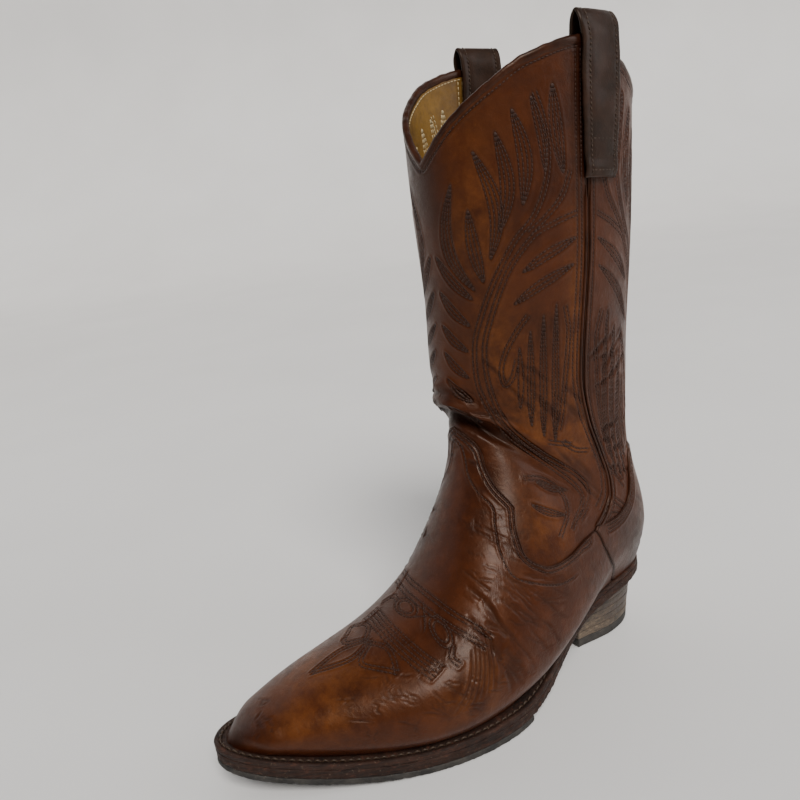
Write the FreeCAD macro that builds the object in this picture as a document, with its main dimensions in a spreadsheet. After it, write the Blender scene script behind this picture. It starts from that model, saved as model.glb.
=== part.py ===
import FreeCAD
import Part
import math
import os

# A left cowboy boot, in millimetres.
# +Z up, toe toward -Y, outer (lateral) side toward +X.
# The origin is the centre of the heel's tread face, on the ground.

Vector = FreeCAD.Vector
Rotation = FreeCAD.Rotation
Placement = FreeCAD.Placement

doc = FreeCAD.newDocument("CowboyBoot")

# ---------------------------------------------------------------------------
# Driving dimensions
# ---------------------------------------------------------------------------

sheet = doc.addObject("Spreadsheet::Sheet", "Sizes")
sheet_row = {"next": 1}


def add_size(alias, value):
    """One row of the sheet: the name in column A, the plain number in column B."""
    row = sheet_row["next"]
    sheet.set("A%d" % row, alias)
    sheet.set("B%d" % row, str(value))
    sheet.setAlias("B%d" % row, alias)
    sheet_row["next"] = row + 1


SIZES = {
    # leather and lining
    "upper_leather": 1.9,
    "foot_overlay": 1.2,
    "lining_leather": 0.9,
    "stiffener_sheet": 1.1,
    "layer_gap": 0.1,
    "insole_leather": 3.0,
    "sock_pad_sheet": 1.5,
    # sole stack, from the ground up
    "half_sole_rubber": 4.2,
    "outsole_leather": 5.5,
    "welt_leather": 3.5,
    "welt_width": 14.0,
    "rand_width": 9.0,
    "rand_height": 3.0,
    # side curve of the sole
    "tread_front": -156.0,
    "tread_rear": -111.0,
    "toe_spring_radius": 340.0,
    "arch_radius": 110.0,
    "arch_slope": 17.7,
    "seat_radius": 244.0,
    "seat_slope": 5.7,
    "arch_length": 50.0,
    "sole_front": -262.0,
    "sole_rear": 45.0,
    "half_sole_rear": -98.0,
    "waist_front": -95.0,
    # heel
    "heel_breast": -29.0,
    "heel_base_half_width": 27.0,
    "heel_base_rear": 29.0,
    "heel_seat_half_width": 33.0,
    "heel_seat_rear": 38.0,
    "heel_block_top": 50.0,
    "heel_cap_rubber": 6.0,
    "heel_lift": 5.0,
    "nail_diameter": 2.2,
    "nail_length": 26.0,
    "nail_sink": 0.6,
    "peg_diameter": 2.6,
    "peg_pitch": 8.0,
    # shank
    "shank_width": 14.0,
    "shank_sheet": 1.6,
    "shank_front": -96.0,
    "shank_rear": 8.0,
    "tack_diameter": 3.0,
    # shaft and its trim
    "binding_height": 2.6,
    "piping_half_angle": 0.035,
    "piping_height": 1.4,
    "strap_width": 24.0,
    "strap_sheet": 2.2,
    "strap_outer_bottom": 292.0,
    "strap_inner_bottom": 300.0,
    "strap_top": 380.0,
    "strap_lean": 1.0,
    "strap_y": -4.0,
    # welt seam
    "welt_seam_pitch": 5.0,
    "welt_seam_inset": 3.4,
    "thread_diameter": 1.1,
    # cutting tools, larger than anything that they trim
    "tool_height": 80.0,
    "tool_width": 200.0,
}
for size_name, size_value in SIZES.items():
    add_size(size_name, size_value)

# The upper is a fan of sections from the toe to the top of the leg. Each section runs from a
# front (or top) point to a back (or sole) point and has its own half widths on either side.
# girth_at says how far along that line the section is widest; front_round and back_round are
# the exponents of its superellipse ends (2 is an ellipse, more is squarer).
SECTION_COLUMNS = (
    "front_y", "front_z", "back_y", "back_z", "lateral", "medial",
    "front_x", "back_x", "girth_at", "front_round", "back_round",
)
SECTIONS = {
    "toe": (-229, 42, -232, 23.0, 23, 24, -4, -10, 0.60, 2.0, 3.0),
    "vamp": (-197, 54, -206, 18.2, 35, 38, 5, -3, 0.62, 2.0, 3.4),
    "ball": (-154, 67, -165, 14.6, 51, 48, 11, 5, 0.66, 2.0, 3.6),
    "joint": (-125, 88, -123, 14.6, 57, 48, 9, 8, 0.68, 1.9, 3.4),
    "instep": (-105, 112, -82, 18.6, 55, 45, 3, 9, 0.66, 1.9, 3.2),
    "cone": (-90, 135, -39, 32.2, 50, 41, -2, 9, 0.62, 1.9, 2.9),
    "pass": (-83, 155, 2, 43.0, 43, 38, -6, 8, 0.58, 2.0, 2.5),
    "seat": (-84, 169, 37, 47.0, 39, 37, -11, 6, 0.55, 2.1, 2.2),
    "counter": (-87, 182, 48, 74.0, 38, 37, -13, 3, 0.52, 2.1, 2.1),
    "ankle": (-87, 200, 40, 120.0, 43, 42, -12, -1, 0.50, 2.1, 2.1),
    "low": (-86, 225, 39, 176.0, 47, 46, -8, -3, 0.48, 2.1, 2.1),
    "mid": (-86, 261, 46, 235.0, 50, 50, -5, -3, 0.48, 2.1, 2.1),
    "high": (-87, 312, 53, 300.0, 51, 51, -5, -3, 0.49, 2.1, 2.1),
    "top": (-86, 374, 58, 370.0, 52, 51, -5, -3, 0.50, 2.1, 2.1),
}
TOE_TIP = {"tip_x": -11.0, "tip_y": -249.0, "tip_z": 28.0}


def size(alias):
    """The value of one sheet cell."""
    return float(sheet.get(alias))


for section_name, section_values in SECTIONS.items():
    for column_name, column_value in zip(SECTION_COLUMNS, section_values):
        add_size("%s_%s" % (section_name, column_name), column_value)
for tip_name, tip_value in TOE_TIP.items():
    add_size(tip_name, tip_value)
doc.recompute()

# ---------------------------------------------------------------------------
# The upper's surface: (station, turn) -> point
# station counts the sections, from -1 at the toe's tip to 13 above the top edge
# turn is 0 at the front, pi/2 on the lateral side, pi at the back (under the foot)
# ---------------------------------------------------------------------------

BACK = math.pi
NOSE = -1.0
NOSE_TAPER = 0.33
LAST_STATION = len(SECTIONS) - 1


class NaturalSpline:
    """Natural cubic spline through values at whole-number stations."""

    def __init__(self, values):
        count = len(values)
        self.values = values
        self.bend = [0.0] * count
        ratio = [0.0] * count
        load = [0.0] * count
        for i in range(1, count - 1):
            pivot = 4.0 - ratio[i - 1]
            ratio[i] = 1.0 / pivot
            load[i] = (6 * (values[i + 1] - 2 * values[i] + values[i - 1]) - load[i - 1]) / pivot
        for i in range(count - 2, 0, -1):
            self.bend[i] = load[i] - ratio[i] * self.bend[i + 1]

    def at(self, station):
        station = min(max(station, 0.0), len(self.values) - 1.0)
        i = min(int(station), len(self.values) - 2)
        after = station - i
        before = 1 - after
        curve = (self.bend[i] * before ** 3 + self.bend[i + 1] * after ** 3) / 6
        start = self.values[i] - self.bend[i] / 6
        end = self.values[i + 1] - self.bend[i + 1] / 6
        return curve + start * before + end * after


class SmoothLine:
    """Smooth line through (x, y) points that doesn't overshoot them."""

    def __init__(self, points):
        self.x = [point[0] for point in points]
        self.y = [point[1] for point in points]
        count = len(points)
        rise = [(self.y[i + 1] - self.y[i]) / (self.x[i + 1] - self.x[i]) for i in range(count - 1)]
        self.slope = [rise[0]] + [0.0] * (count - 2) + [rise[-1]]
        for i in range(1, count - 1):
            if rise[i - 1] * rise[i] > 0:
                self.slope[i] = 2 * rise[i - 1] * rise[i] / (rise[i - 1] + rise[i])

    def at(self, x):
        x = min(max(x, self.x[0]), self.x[-1])
        i = 0
        while i < len(self.x) - 2 and x > self.x[i + 1]:
            i += 1
        span = self.x[i + 1] - self.x[i]
        k = (x - self.x[i]) / span
        start = self.y[i] * (1 + 2 * k) * (1 - k) ** 2 + self.slope[i] * span * k * (1 - k) ** 2
        end = self.y[i + 1] * k * k * (3 - 2 * k) + self.slope[i + 1] * span * k * k * (k - 1)
        return start + end


SECTION_SPLINES = {
    column: NaturalSpline([size("%s_%s" % (name, column)) for name in SECTIONS])
    for column in SECTION_COLUMNS
}


def signed_power(value, exponent):
    return math.copysign(abs(value) ** exponent, value)


def upper_point(station, turn):
    """Point of the upper's outer surface."""
    value = {column: spline.at(station) for column, spline in SECTION_SPLINES.items()}
    sine = math.sin(turn)
    cosine = math.cos(turn)
    girth_at = value["girth_at"]
    if cosine >= 0:
        round_to = value["front_round"]
        along = girth_at * (1 - abs(cosine) ** (2 / round_to))
    else:
        round_to = value["back_round"]
        along = girth_at + (1 - girth_at) * abs(cosine) ** (2 / round_to)
    half_width = value["lateral"] if sine >= 0 else value["medial"]
    x = value["front_x"] * (1 - along) + value["back_x"] * along
    x += half_width * signed_power(sine, 2 / round_to)
    y = value["front_y"] * (1 - along) + value["back_y"] * along
    z = value["front_z"] * (1 - along) + value["back_z"] * along
    if station >= 0:
        return Vector(x, y, z)
    # in front of the first section the outline closes to the toe's tip like an ellipsoid
    angle = max(station + 1, 0.0) * math.pi / 2
    reach = math.cos(angle)
    shrink = math.sin(angle) * (1 - NOSE_TAPER * reach)
    middle_y = (value["front_y"] + value["back_y"]) / 2
    nose_y = y * shrink + (1 - shrink) * middle_y + (size("tip_y") - middle_y) * reach
    nose_x = size("tip_x") + (x - size("tip_x")) * shrink
    nose_z = size("tip_z") + (z - size("tip_z")) * shrink
    return Vector(nose_x, nose_y, nose_z)


def skin_point(station, turn, depth):
    """Point at a depth inside the upper's surface; a negative depth is outside it."""
    step = 0.004
    inner_station = min(max(station, NOSE + 0.03), LAST_STATION - step)
    around = upper_point(inner_station, turn + step) - upper_point(inner_station, turn - step)
    along = upper_point(inner_station + step, turn) - upper_point(inner_station - step, turn)
    normal = around.cross(along)
    normal.normalize()
    return upper_point(station, turn) - normal * depth


# Edges of the upper's panels, as station over turn from the front centre
VAMP_EDGE = SmoothLine([
    (0.00, 6.45), (0.20, 6.25), (0.36, 6.00), (0.44, 5.50), (0.60, 5.25), (0.78, 5.18), (0.86, 4.80),
    (1.00, 4.60), (1.20, 4.75), (1.42, 5.25), (1.56, 5.85), (1.62, 6.20), (1.80, 6.05), (2.10, 5.95),
    (BACK, 5.95),
])
COUNTER_EDGE = SmoothLine([
    (1.62, 6.35), (1.80, 7.00), (1.92, 7.40), (2.05, 7.80), (2.20, 8.40), (2.45, 8.85), (BACK, 9.10),
])
TOP_EDGE = SmoothLine([
    (0.00, 12.00), (0.38, 12.32), (0.78, 12.58), (1.10, 12.76), (1.60, 12.88), (2.01, 12.72),
    (2.40, 12.55), (BACK, 12.40),
])
# The side seam, as turn over station
SIDE_SEAM = SmoothLine([
    (6.20, 1.62), (7.00, 1.68), (7.60, 1.76), (8.00, 1.78), (8.50, 1.73), (9.00, 1.65), (9.60, 1.60),
    (13.0, 1.60),
])
SEAM_TURN = 1.60
SEAM_FOOT = 6.20
SEAM_HEAD = 12.88


def fold(turn):
    """Turn measured from the front centre on either side, 0 to pi."""
    turn = turn % (2 * math.pi)
    return min(turn, 2 * math.pi - turn)


EDGE_PARTS = 4


def edge_run(curve, part):
    """One of the equal runs of a curve."""
    first, last = curve.FirstParameter, curve.LastParameter
    step = (last - first) / EDGE_PARTS
    return curve.toShape(first + part * step, first + (part + 1) * step)


def skin_solid(bounds, outer_depth, inner_depth, across, along):
    """Solid between two depths over a patch. bounds(u, v) gives (station, turn) for 0..1."""
    surfaces = []
    for depth in (outer_depth, inner_depth):
        grid = []
        for i in range(across + 1):
            places = [bounds(i / across, j / along) for j in range(along + 1)]
            grid.append([skin_point(station, turn, depth) for station, turn in places])
        surface = Part.BSplineSurface()
        surface.interpolate(grid)
        surfaces.append(surface)
    outer, inner = surfaces
    u_first, u_last, v_first, v_last = outer.bounds()
    inner_u_first, inner_u_last, inner_v_first, inner_v_last = inner.bounds()
    pairs = [
        (outer.uIso(u_first), inner.uIso(inner_u_first)),
        (outer.uIso(u_last), inner.uIso(inner_u_last)),
        (outer.vIso(v_first), inner.vIso(inner_v_first)),
        (outer.vIso(v_last), inner.vIso(inner_v_last)),
    ]
    faces = [outer.toShape(), inner.toShape()]
    for outer_edge, inner_edge in pairs:
        # an edge that goes right round the boot is bridged in short runs
        for part in range(EDGE_PARTS):
            outer_run = edge_run(outer_edge, part)
            inner_run = edge_run(inner_edge, part)
            faces.append(Part.makeRuledSurface(outer_run, inner_run))
    shell = Part.Shell(faces)
    shell.sewShape(0.005)
    solid = Part.Solid(shell)
    if solid.Volume < 0:
        solid.reverse()
    return solid

# ---------------------------------------------------------------------------
# Helpers that make document objects
# ---------------------------------------------------------------------------

nodes = []


def keep(item, label):
    """Marks an object as a sub-part that is written to its own file."""
    item.Label = label
    nodes.append(item)
    return item


def add_shape(label, shape):
    """A sub-part whose shape is made with Part's own functions."""
    item = doc.addObject("Part::Feature", label)
    item.Shape = shape
    item.Placement = Placement()
    return keep(item, label)


def add_skin(label, bounds, outer_depth, inner_depth, across, along):
    """A sub-part cut from sheet leather that follows the upper's surface."""
    return add_shape(label, skin_solid(bounds, outer_depth, inner_depth, across, along))


def add_sketch(body, name, role, geometry, height=0.0):
    """A sketch on one of its body's own origin planes."""
    sketch = body.newObject("Sketcher::SketchObject", name)
    plane = [item for item in body.Origin.OriginFeatures if item.Role == role][0]
    sketch.AttachmentSupport = [(plane, "")]
    sketch.MapMode = "FlatFace"
    sketch.AttachmentOffset = Placement(Vector(0, 0, height), Rotation())
    for item in geometry:
        sketch.addGeometry(item, False)
    return sketch


def add_pad(name, role, geometry, length, both_ways=False):
    """A body with one padded sketch. length is an expression over the sheet."""
    body = doc.addObject("PartDesign::Body", name)
    sketch = add_sketch(body, name + "_sketch", role, geometry)
    pad = body.newObject("PartDesign::Pad", name + "_pad")
    pad.Profile = sketch
    pad.setExpression("Length", length)
    pad.SideType = "Symmetric" if both_ways else "One side"
    body.Tip = pad
    return body


def add_common(name, base, tool):
    common = doc.addObject("Part::Common", name)
    common.Base = base
    common.Tool = tool
    return common


def add_cut(name, base, tool):
    cut = doc.addObject("Part::Cut", name)
    cut.Base = base
    cut.Tool = tool
    return cut


def add_group(name, items):
    group = doc.addObject("Part::Compound", name)
    group.Links = items
    return group


def closed_curve(points):
    """Smooth closed curve through (x, y) points."""
    curve = Part.BSplineCurve()
    curve.interpolate([Vector(x, y, 0) for x, y in points], PeriodicFlag=True)
    return curve


def polyline(points):
    """Closed chain of straight lines through (x, y) points."""
    ends = points[1:] + points[:1]
    return [
        Part.LineSegment(Vector(x0, y0, 0), Vector(x1, y1, 0))
        for (x0, y0), (x1, y1) in zip(points, ends)
    ]


# ---------------------------------------------------------------------------
# Sole: one outline seen from above, and layers that follow one side curve
# ---------------------------------------------------------------------------

SOLE_OUTLINE = [
    (-13, -259), (2, -252), (18, -233), (38, -200), (54, -165), (62, -129), (59, -96), (46, -62),
    (35, -30), (34, 0), (27, 27), (2, 40), (-23, 29), (-33, 0), (-32, -33), (-36, -65),
    (-43, -100), (-49, -135), (-50, -170), (-46, -207), (-38, -237), (-28, -252),
]


def inset(points, distance):
    """The outline moved inward by a distance."""
    moved = []
    for i, (x, y) in enumerate(points):
        x_before, y_before = points[i - 1]
        x_after, y_after = points[(i + 1) % len(points)]
        along_x = x_after - x_before
        along_y = y_after - y_before
        length = math.hypot(along_x, along_y)
        moved.append((x - along_y / length * distance, y + along_x / length * distance))
    return moved


WELT_TOP = size("half_sole_rubber") + size("outsole_leather") + size("welt_leather")


def side_curve(rise, front, rear):
    """Edges of the sole's side curve, rise above the welt's top, as (y, z) in a sketch plane.

    From the toe: a toe spring arc, the flat tread, the arch's rise, its straight slope and
    the heel seat, which eases to a gentler slope.
    """
    level = WELT_TOP + rise
    tread_front = size("tread_front")
    tread_rear = size("tread_rear")
    toe_radius = size("toe_spring_radius") - rise
    arch_radius = size("arch_radius") - rise
    seat_radius = size("seat_radius") + rise
    slope = math.radians(size("arch_slope"))
    seat_slope = math.radians(size("seat_slope"))
    slope_way = Vector(math.cos(slope), math.sin(slope), 0)
    seat_way = Vector(math.cos(seat_slope), math.sin(seat_slope), 0)

    def on_circle(centre, radius, angle):
        return centre + Vector(math.sin(angle), -math.cos(angle), 0) * radius

    toe_centre = Vector(tread_front, level + toe_radius, 0)
    toe_angle = math.asin((front - tread_front) / toe_radius)
    toe_end = on_circle(toe_centre, toe_radius, toe_angle)
    toe_middle = on_circle(toe_centre, toe_radius, toe_angle / 2)
    flat_start = Vector(tread_front, level, 0)
    flat_end = Vector(tread_rear, level, 0)
    arch_centre = Vector(tread_rear, level + arch_radius, 0)
    arch_middle = on_circle(arch_centre, arch_radius, slope / 2)
    arch_end = on_circle(arch_centre, arch_radius, slope)
    slope_end = arch_end + slope_way * size("arch_length")
    seat_centre = slope_end + Vector(math.sin(slope), -math.cos(slope), 0) * seat_radius
    seat_middle = on_circle(seat_centre, -seat_radius, (slope + seat_slope) / 2)
    seat_start = on_circle(seat_centre, -seat_radius, seat_slope)
    seat_end = seat_start + seat_way * ((rear - seat_start.x) / seat_way.x)
    return [
        Part.Arc(toe_end, toe_middle, flat_start),
        Part.LineSegment(flat_start, flat_end),
        Part.Arc(flat_end, arch_middle, arch_end),
        Part.LineSegment(arch_end, slope_end),
        Part.Arc(slope_end, seat_middle, seat_start),
        Part.LineSegment(seat_start, seat_end),
    ]


def band_geometry(top_rise, bottom_rise, front, rear):
    """Closed side view of a layer between two rises above the welt's top."""
    top = side_curve(top_rise, front, rear)
    bottom = side_curve(bottom_rise, front, rear)
    toe_top = top[0].StartPoint
    toe_bottom = bottom[0].StartPoint
    heel_top = top[-1].EndPoint
    heel_bottom = bottom[-1].EndPoint
    ends = [Part.LineSegment(toe_top, toe_bottom), Part.LineSegment(heel_bottom, heel_top)]
    return top + bottom + ends


def add_layer(name, outline_geometry, top_rise, bottom_rise, front="sole_front", rear="sole_rear"):
    """A layer of the sole: its outline seen from above, cut to its side view."""
    plan = add_pad(name + "_plan", "XY_Plane", outline_geometry, "Sizes.tool_height")
    side = add_pad(
        name + "_side",
        "YZ_Plane",
        band_geometry(top_rise, bottom_rise, size(front), size(rear)),
        "Sizes.tool_width",
        both_ways=True,
    )
    return add_common(name, plan, side)


outline = closed_curve(SOLE_OUTLINE)
outsole_top = -size("welt_leather")
outsole_bottom = outsole_top - size("outsole_leather")
half_sole_bottom = outsole_bottom - size("half_sole_rubber")
gap = 0.05
trim_half = size("tool_width") / 2
half_sole_bow = 4.0


def trim_box(front, rear):
    """Rectangle seen from above that keeps what lies between two places along the boot."""
    return polyline([(-trim_half, front), (trim_half, front), (trim_half, rear), (-trim_half, rear)])


# Rubber half sole under the ball and toe
half_sole_box = polyline([
    (-trim_half, size("sole_front")), (trim_half, size("sole_front")),
    (trim_half, size("half_sole_rear") - half_sole_bow),
    (0, size("half_sole_rear") + half_sole_bow),
    (-trim_half, size("half_sole_rear") - half_sole_bow),
])
half_sole_layer = add_layer("half_sole_layer", [outline], outsole_bottom - gap, half_sole_bottom)
half_sole_trim = add_pad("half_sole_trim", "XY_Plane", half_sole_box, "Sizes.heel_block_top")
half_sole_blank = add_common("half_sole_blank", half_sole_layer, half_sole_trim)
keep(half_sole_blank, "half_sole")

# Waist pegs: two rows of wooden pegs through the outsole, closer in toward the heel
PEG_EDGES = {1: (57.0, 28.0), -1: (37.0, 24.0)}
peg_rows = []
peg_y = size("waist_front") + size("peg_pitch")
while peg_y < size("heel_breast") - size("peg_pitch"):
    along = (peg_y - size("waist_front")) / (size("heel_breast") - size("waist_front"))
    for side, (front_edge, rear_edge) in PEG_EDGES.items():
        edge = front_edge + (rear_edge - front_edge) * along
        peg_rows.append((side * edge, peg_y))
    peg_y += size("peg_pitch")


def peg_circles(diameter):
    return [Part.Circle(Vector(x, y, 0), Vector(0, 0, 1), diameter / 2) for x, y in peg_rows]


pegs = add_layer("peg_layer", peg_circles(size("peg_diameter")), outsole_top - 0.5, outsole_bottom + 0.2)
keep(pegs, "waist_pegs")
peg_holes = add_pad(
    "peg_holes", "XY_Plane", peg_circles(size("peg_diameter") + gap), "Sizes.tool_height"
)
outsole_blank = add_layer("outsole_blank", [outline], outsole_top, outsole_bottom)
outsole = add_cut("outsole", outsole_blank, peg_holes)
keep(outsole, "outsole")

# Welt around the forepart, heel seat rand behind it
welt_inner = closed_curve(inset(SOLE_OUTLINE, size("welt_width")))
rand_inner = closed_curve(inset(SOLE_OUTLINE, size("rand_width")))
welt_layer = add_layer("welt_layer", [outline, welt_inner], 0.0, outsole_top + gap)
welt_box = trim_box(size("sole_front"), size("heel_breast"))
welt_trim = add_pad("welt_trim", "XY_Plane", welt_box, "Sizes.tool_height")
keep(add_common("welt_strip", welt_layer, welt_trim), "welt")
rand_layer = add_layer(
    "rand_layer", [outline, rand_inner], size("rand_height") - size("welt_leather"), outsole_top + gap
)
rand_box = trim_box(size("heel_breast") + 0.3, size("sole_rear"))
rand_trim = add_pad("rand_trim", "XY_Plane", rand_box, "Sizes.tool_height")
rand = add_common("rand", rand_layer, rand_trim)
keep(rand, "heel_rand")

# Welt seam: one row of thread stitches along the top of the welt
STITCH_COVER = 1.6   # length of a stitch over half the pitch


def welt_seam():
    """Separate stitches, laid end to end with a small gap."""
    seam_line = closed_curve(inset(SOLE_OUTLINE, size("welt_seam_inset")))
    height = Part.Wire([edge.toShape() for edge in side_curve(0, size("sole_front"), size("sole_rear"))])
    profile = SmoothLine([(point.x, point.y) for point in height.discretize(60)])
    thread = size("thread_diameter")
    pitch = size("welt_seam_pitch")
    count = int(seam_line.length() / pitch)
    places = seam_line.toShape().discretize(2 * count + 1)
    stitches = []
    for start, end in zip(places[0:-1:2], places[1::2]):
        if max(start.y, end.y) > size("heel_breast") - pitch:
            continue
        lift = thread / 2 + gap
        foot = Vector(start.x, start.y, profile.at(start.y) + lift)
        head = Vector(end.x, end.y, profile.at(end.y) + lift)
        reach = (head - foot) * STITCH_COVER
        stitches.append(Part.makeCylinder(thread / 2, reach.Length, foot, reach))
    return Part.makeCompound(stitches)


add_shape("welt_stitching", welt_seam())

# Steel shank between the insole and the outsole, and its two tacks
shank_half = size("shank_width") / 2
shank_line = SmoothLine([(size("shank_front"), 6.0), (size("shank_rear"), 1.0)])


def shank_outline(front, rear):
    """Slanted strip with rounded ends."""
    front_x = shank_line.at(front)
    rear_x = shank_line.at(rear)
    return [
        Part.LineSegment(Vector(front_x - shank_half, front, 0), Vector(rear_x - shank_half, rear, 0)),
        Part.Arc(
            Vector(rear_x - shank_half, rear, 0),
            Vector(rear_x, rear + shank_half, 0),
            Vector(rear_x + shank_half, rear, 0),
        ),
        Part.LineSegment(Vector(rear_x + shank_half, rear, 0), Vector(front_x + shank_half, front, 0)),
        Part.Arc(
            Vector(front_x + shank_half, front, 0),
            Vector(front_x, front - shank_half, 0),
            Vector(front_x - shank_half, front, 0),
        ),
    ]


def tack_circles(diameter):
    places = [(shank_line.at(y), y) for y in (size("shank_front"), size("shank_rear"))]
    return [Part.Circle(Vector(x, y, 0), Vector(0, 0, 1), diameter / 2) for x, y in places]


shank_bottom = outsole_top + 0.1
shank_top = shank_bottom + size("shank_sheet")
shank_blank = add_layer(
    "shank_blank", shank_outline(size("shank_front"), size("shank_rear")), shank_top, shank_bottom
)
tack_holes = add_pad(
    "tack_holes", "XY_Plane", tack_circles(size("tack_diameter") + 2 * gap), "Sizes.tool_height"
)
shank = add_cut("shank", shank_blank, tack_holes)
keep(shank, "shank")
tacks = add_layer("tack_layer", tack_circles(size("tack_diameter")), shank_top + 0.8, shank_bottom)
keep(tacks, "shank_tacks")

# Cork filler in the well that the welt leaves under the ball
filler_outline = closed_curve([
    (x, y)
    for x, y in inset(SOLE_OUTLINE, size("welt_width") + 0.4)
    if y < size("waist_front") - shank_half
])
filler = add_layer("filler_layer", [filler_outline], -0.4, outsole_top + gap)
filler_box = trim_box(size("sole_front"), size("shank_front") - shank_half - 1)
filler_trim = add_pad("filler_trim", "XY_Plane", filler_box, "Sizes.heel_block_top")
keep(add_common("filler", filler, filler_trim), "bottom_filler")

# ---------------------------------------------------------------------------
# Stacked heel: lofted block cut into lifts, with a rubber cap and nails
# ---------------------------------------------------------------------------


def heel_outline(breast, rear, half_width):
    """D shape: a straight breast and a rounded back."""
    corner = Vector(half_width * 0.93, breast, 0)
    other_corner = Vector(-half_width * 0.93, breast, 0)
    middle = (breast + rear) / 2
    shoulder = half_width * 0.72
    shoulder_back = half_width * 0.30
    back = Part.BSplineCurve()
    back.interpolate([
        corner,
        Vector(half_width, middle, 0),
        Vector(shoulder, rear - shoulder_back, 0),
        Vector(0, rear, 0),
        Vector(-shoulder, rear - shoulder_back, 0),
        Vector(-half_width, middle, 0),
        other_corner,
    ])
    return [Part.LineSegment(other_corner, corner), back]


heel_base_half = size("heel_base_half_width")
heel_seat_half = size("heel_seat_half_width")
HEEL_UNDERCUT = 4.0
heel_block = doc.addObject("PartDesign::Body", "heel_block")
heel_sections = []
heel_top_rear = size("heel_seat_rear") + 1.5
heel_top_half = heel_seat_half + 0.5
# each level as a share of the block's height, and how far it has flared from base to seat
for level, ease in ((0.0, 0.0), (0.5, 0.38), (1.0, 1.0)):
    breast = size("heel_breast") - HEEL_UNDERCUT * ease
    rear = size("heel_base_rear") + (heel_top_rear - size("heel_base_rear")) * ease
    half = heel_base_half + (heel_top_half - heel_base_half) * ease
    heel_sections.append(add_sketch(
        heel_block,
        "heel_section_%d" % len(heel_sections),
        "XY_Plane",
        heel_outline(breast, rear, half),
        level * size("heel_block_top"),
    ))
heel_loft = heel_block.newObject("PartDesign::AdditiveLoft", "heel_loft")
heel_loft.Profile = heel_sections[0]
heel_loft.Sections = heel_sections[1:]
heel_block.Tip = heel_loft

HEEL_REACH = 60.0
heel_under_seat = add_pad(
    "heel_under_seat",
    "YZ_Plane",
    band_geometry(outsole_bottom - gap, outsole_bottom - HEEL_REACH, -HEEL_REACH, size("sole_rear")),
    "Sizes.tool_width",
    both_ways=True,
)
heel_stack = add_common("heel_stack", heel_block, heel_under_seat)

# nails in a horseshoe, driven through the cap into the lifts
NAIL_PLACES = [(-17, -20), (-20, -4), (-14, 11), (0, 18), (14, 11), (20, -4), (17, -20)]


def add_nails(name, extra):
    nails = []
    for number, (x, y) in enumerate(NAIL_PLACES):
        nail = doc.addObject("Part::Cylinder", "%s_%d" % (name, number + 1))
        nail.setExpression("Radius", "Sizes.nail_diameter / 2 + %s" % extra)
        nail.setExpression("Height", "Sizes.nail_length + %s" % extra)
        nail.Placement = Placement(Vector(x, y, size("nail_sink") - extra), Rotation())
        nails.append(nail)
    return add_group(name, nails)


nail_group = add_nails("nail", 0.0)
keep(nail_group, "heel_nails")
nail_holes = add_nails("nail_hole", gap)
recesses = []
for number, (x, y) in enumerate(NAIL_PLACES):
    recess = doc.addObject("Part::Cylinder", "nail_recess_%d" % (number + 1))
    recess.setExpression("Radius", "Sizes.nail_diameter / 2 + %s" % gap)
    recess.setExpression("Height", "Sizes.nail_sink * 2")
    recess.Placement = Placement(Vector(x, y, -size("nail_sink")), Rotation())
    recesses.append(recess)
recess_group = add_group("nail_recesses", recesses)


def add_heel_slice(label, bottom, height, with_recess=False):
    """One layer of the heel, bottom and height as expressions over the sheet."""
    box = doc.addObject("Part::Box", label + "_slice")
    box.Length = 2 * HEEL_REACH
    box.Width = 2 * HEEL_REACH
    box.setExpression("Height", height + " - %s" % gap)
    box.Placement = Placement(Vector(-HEEL_REACH, -HEEL_REACH, 0), Rotation())
    box.setExpression("Placement.Base.z", bottom)
    layer = add_common(label + "_layer", heel_stack, box)
    drilled = add_cut(label + "_drilled", layer, nail_holes)
    if with_recess:
        drilled = add_cut(label + "_sunk", drilled, recess_group)
    return keep(drilled, label)


add_heel_slice("heel_cap", "0", "Sizes.heel_cap_rubber", with_recess=True)
LIFT_COUNT = 6
for number in range(LIFT_COUNT):
    lift_bottom = "(Sizes.heel_cap_rubber + %d * Sizes.heel_lift)" % number
    lift_height = "Sizes.heel_lift" if number < LIFT_COUNT - 1 else "Sizes.heel_block_top"
    add_heel_slice("heel_lift_%d" % (number + 1), lift_bottom, lift_height)

# ---------------------------------------------------------------------------
# Upper: outer leathers, linings and stiffeners
# ---------------------------------------------------------------------------

leather = size("upper_leather")
overlay = size("foot_overlay")
lining = size("lining_leather")
stiffener = size("stiffener_sheet")
layer_gap = size("layer_gap")
stiffener_depth = leather - overlay + layer_gap
lining_depth = leather + layer_gap
insole_depth = lining_depth + lining + layer_gap
sock_depth = insole_depth + size("insole_leather") + layer_gap
SEAM_GAP = 0.008
EDGE_GAP = 0.02
LASTING_MARGIN = 0.2   # share of the half girth that the vamp leaves open under the foot
LINING_MARGIN = 0.24
TIP_PINCH = NOSE + 0.03
COUNTER_TURN = 1.65
COUNTER_LINING_TURN = 1.66
STIFFENER_TURN = 2.00
PIPING_FOOT = 7.0
PIPING_HEAD = 11.68


def eased(u):
    """0 to 1 with its steps closest together at both ends, where the panels' edges are steep."""
    return 0.5 - 0.5 * math.cos(math.pi * u)


def front_bounds(low_trim, high_trim):
    """Patch of the leg between the side seams, over the front."""
    def bounds(u, v):
        side = 2 * eased(u) - 1
        seam_station = SEAM_FOOT + (SEAM_HEAD - SEAM_FOOT) * v
        turn = side * (SIDE_SEAM.at(seam_station) - SEAM_GAP)
        low = VAMP_EDGE.at(abs(side) * SIDE_SEAM.at(SEAM_FOOT)) + low_trim
        high = TOP_EDGE.at(abs(side) * SEAM_TURN) - high_trim
        return low + (high - low) * v, turn
    return bounds


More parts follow.
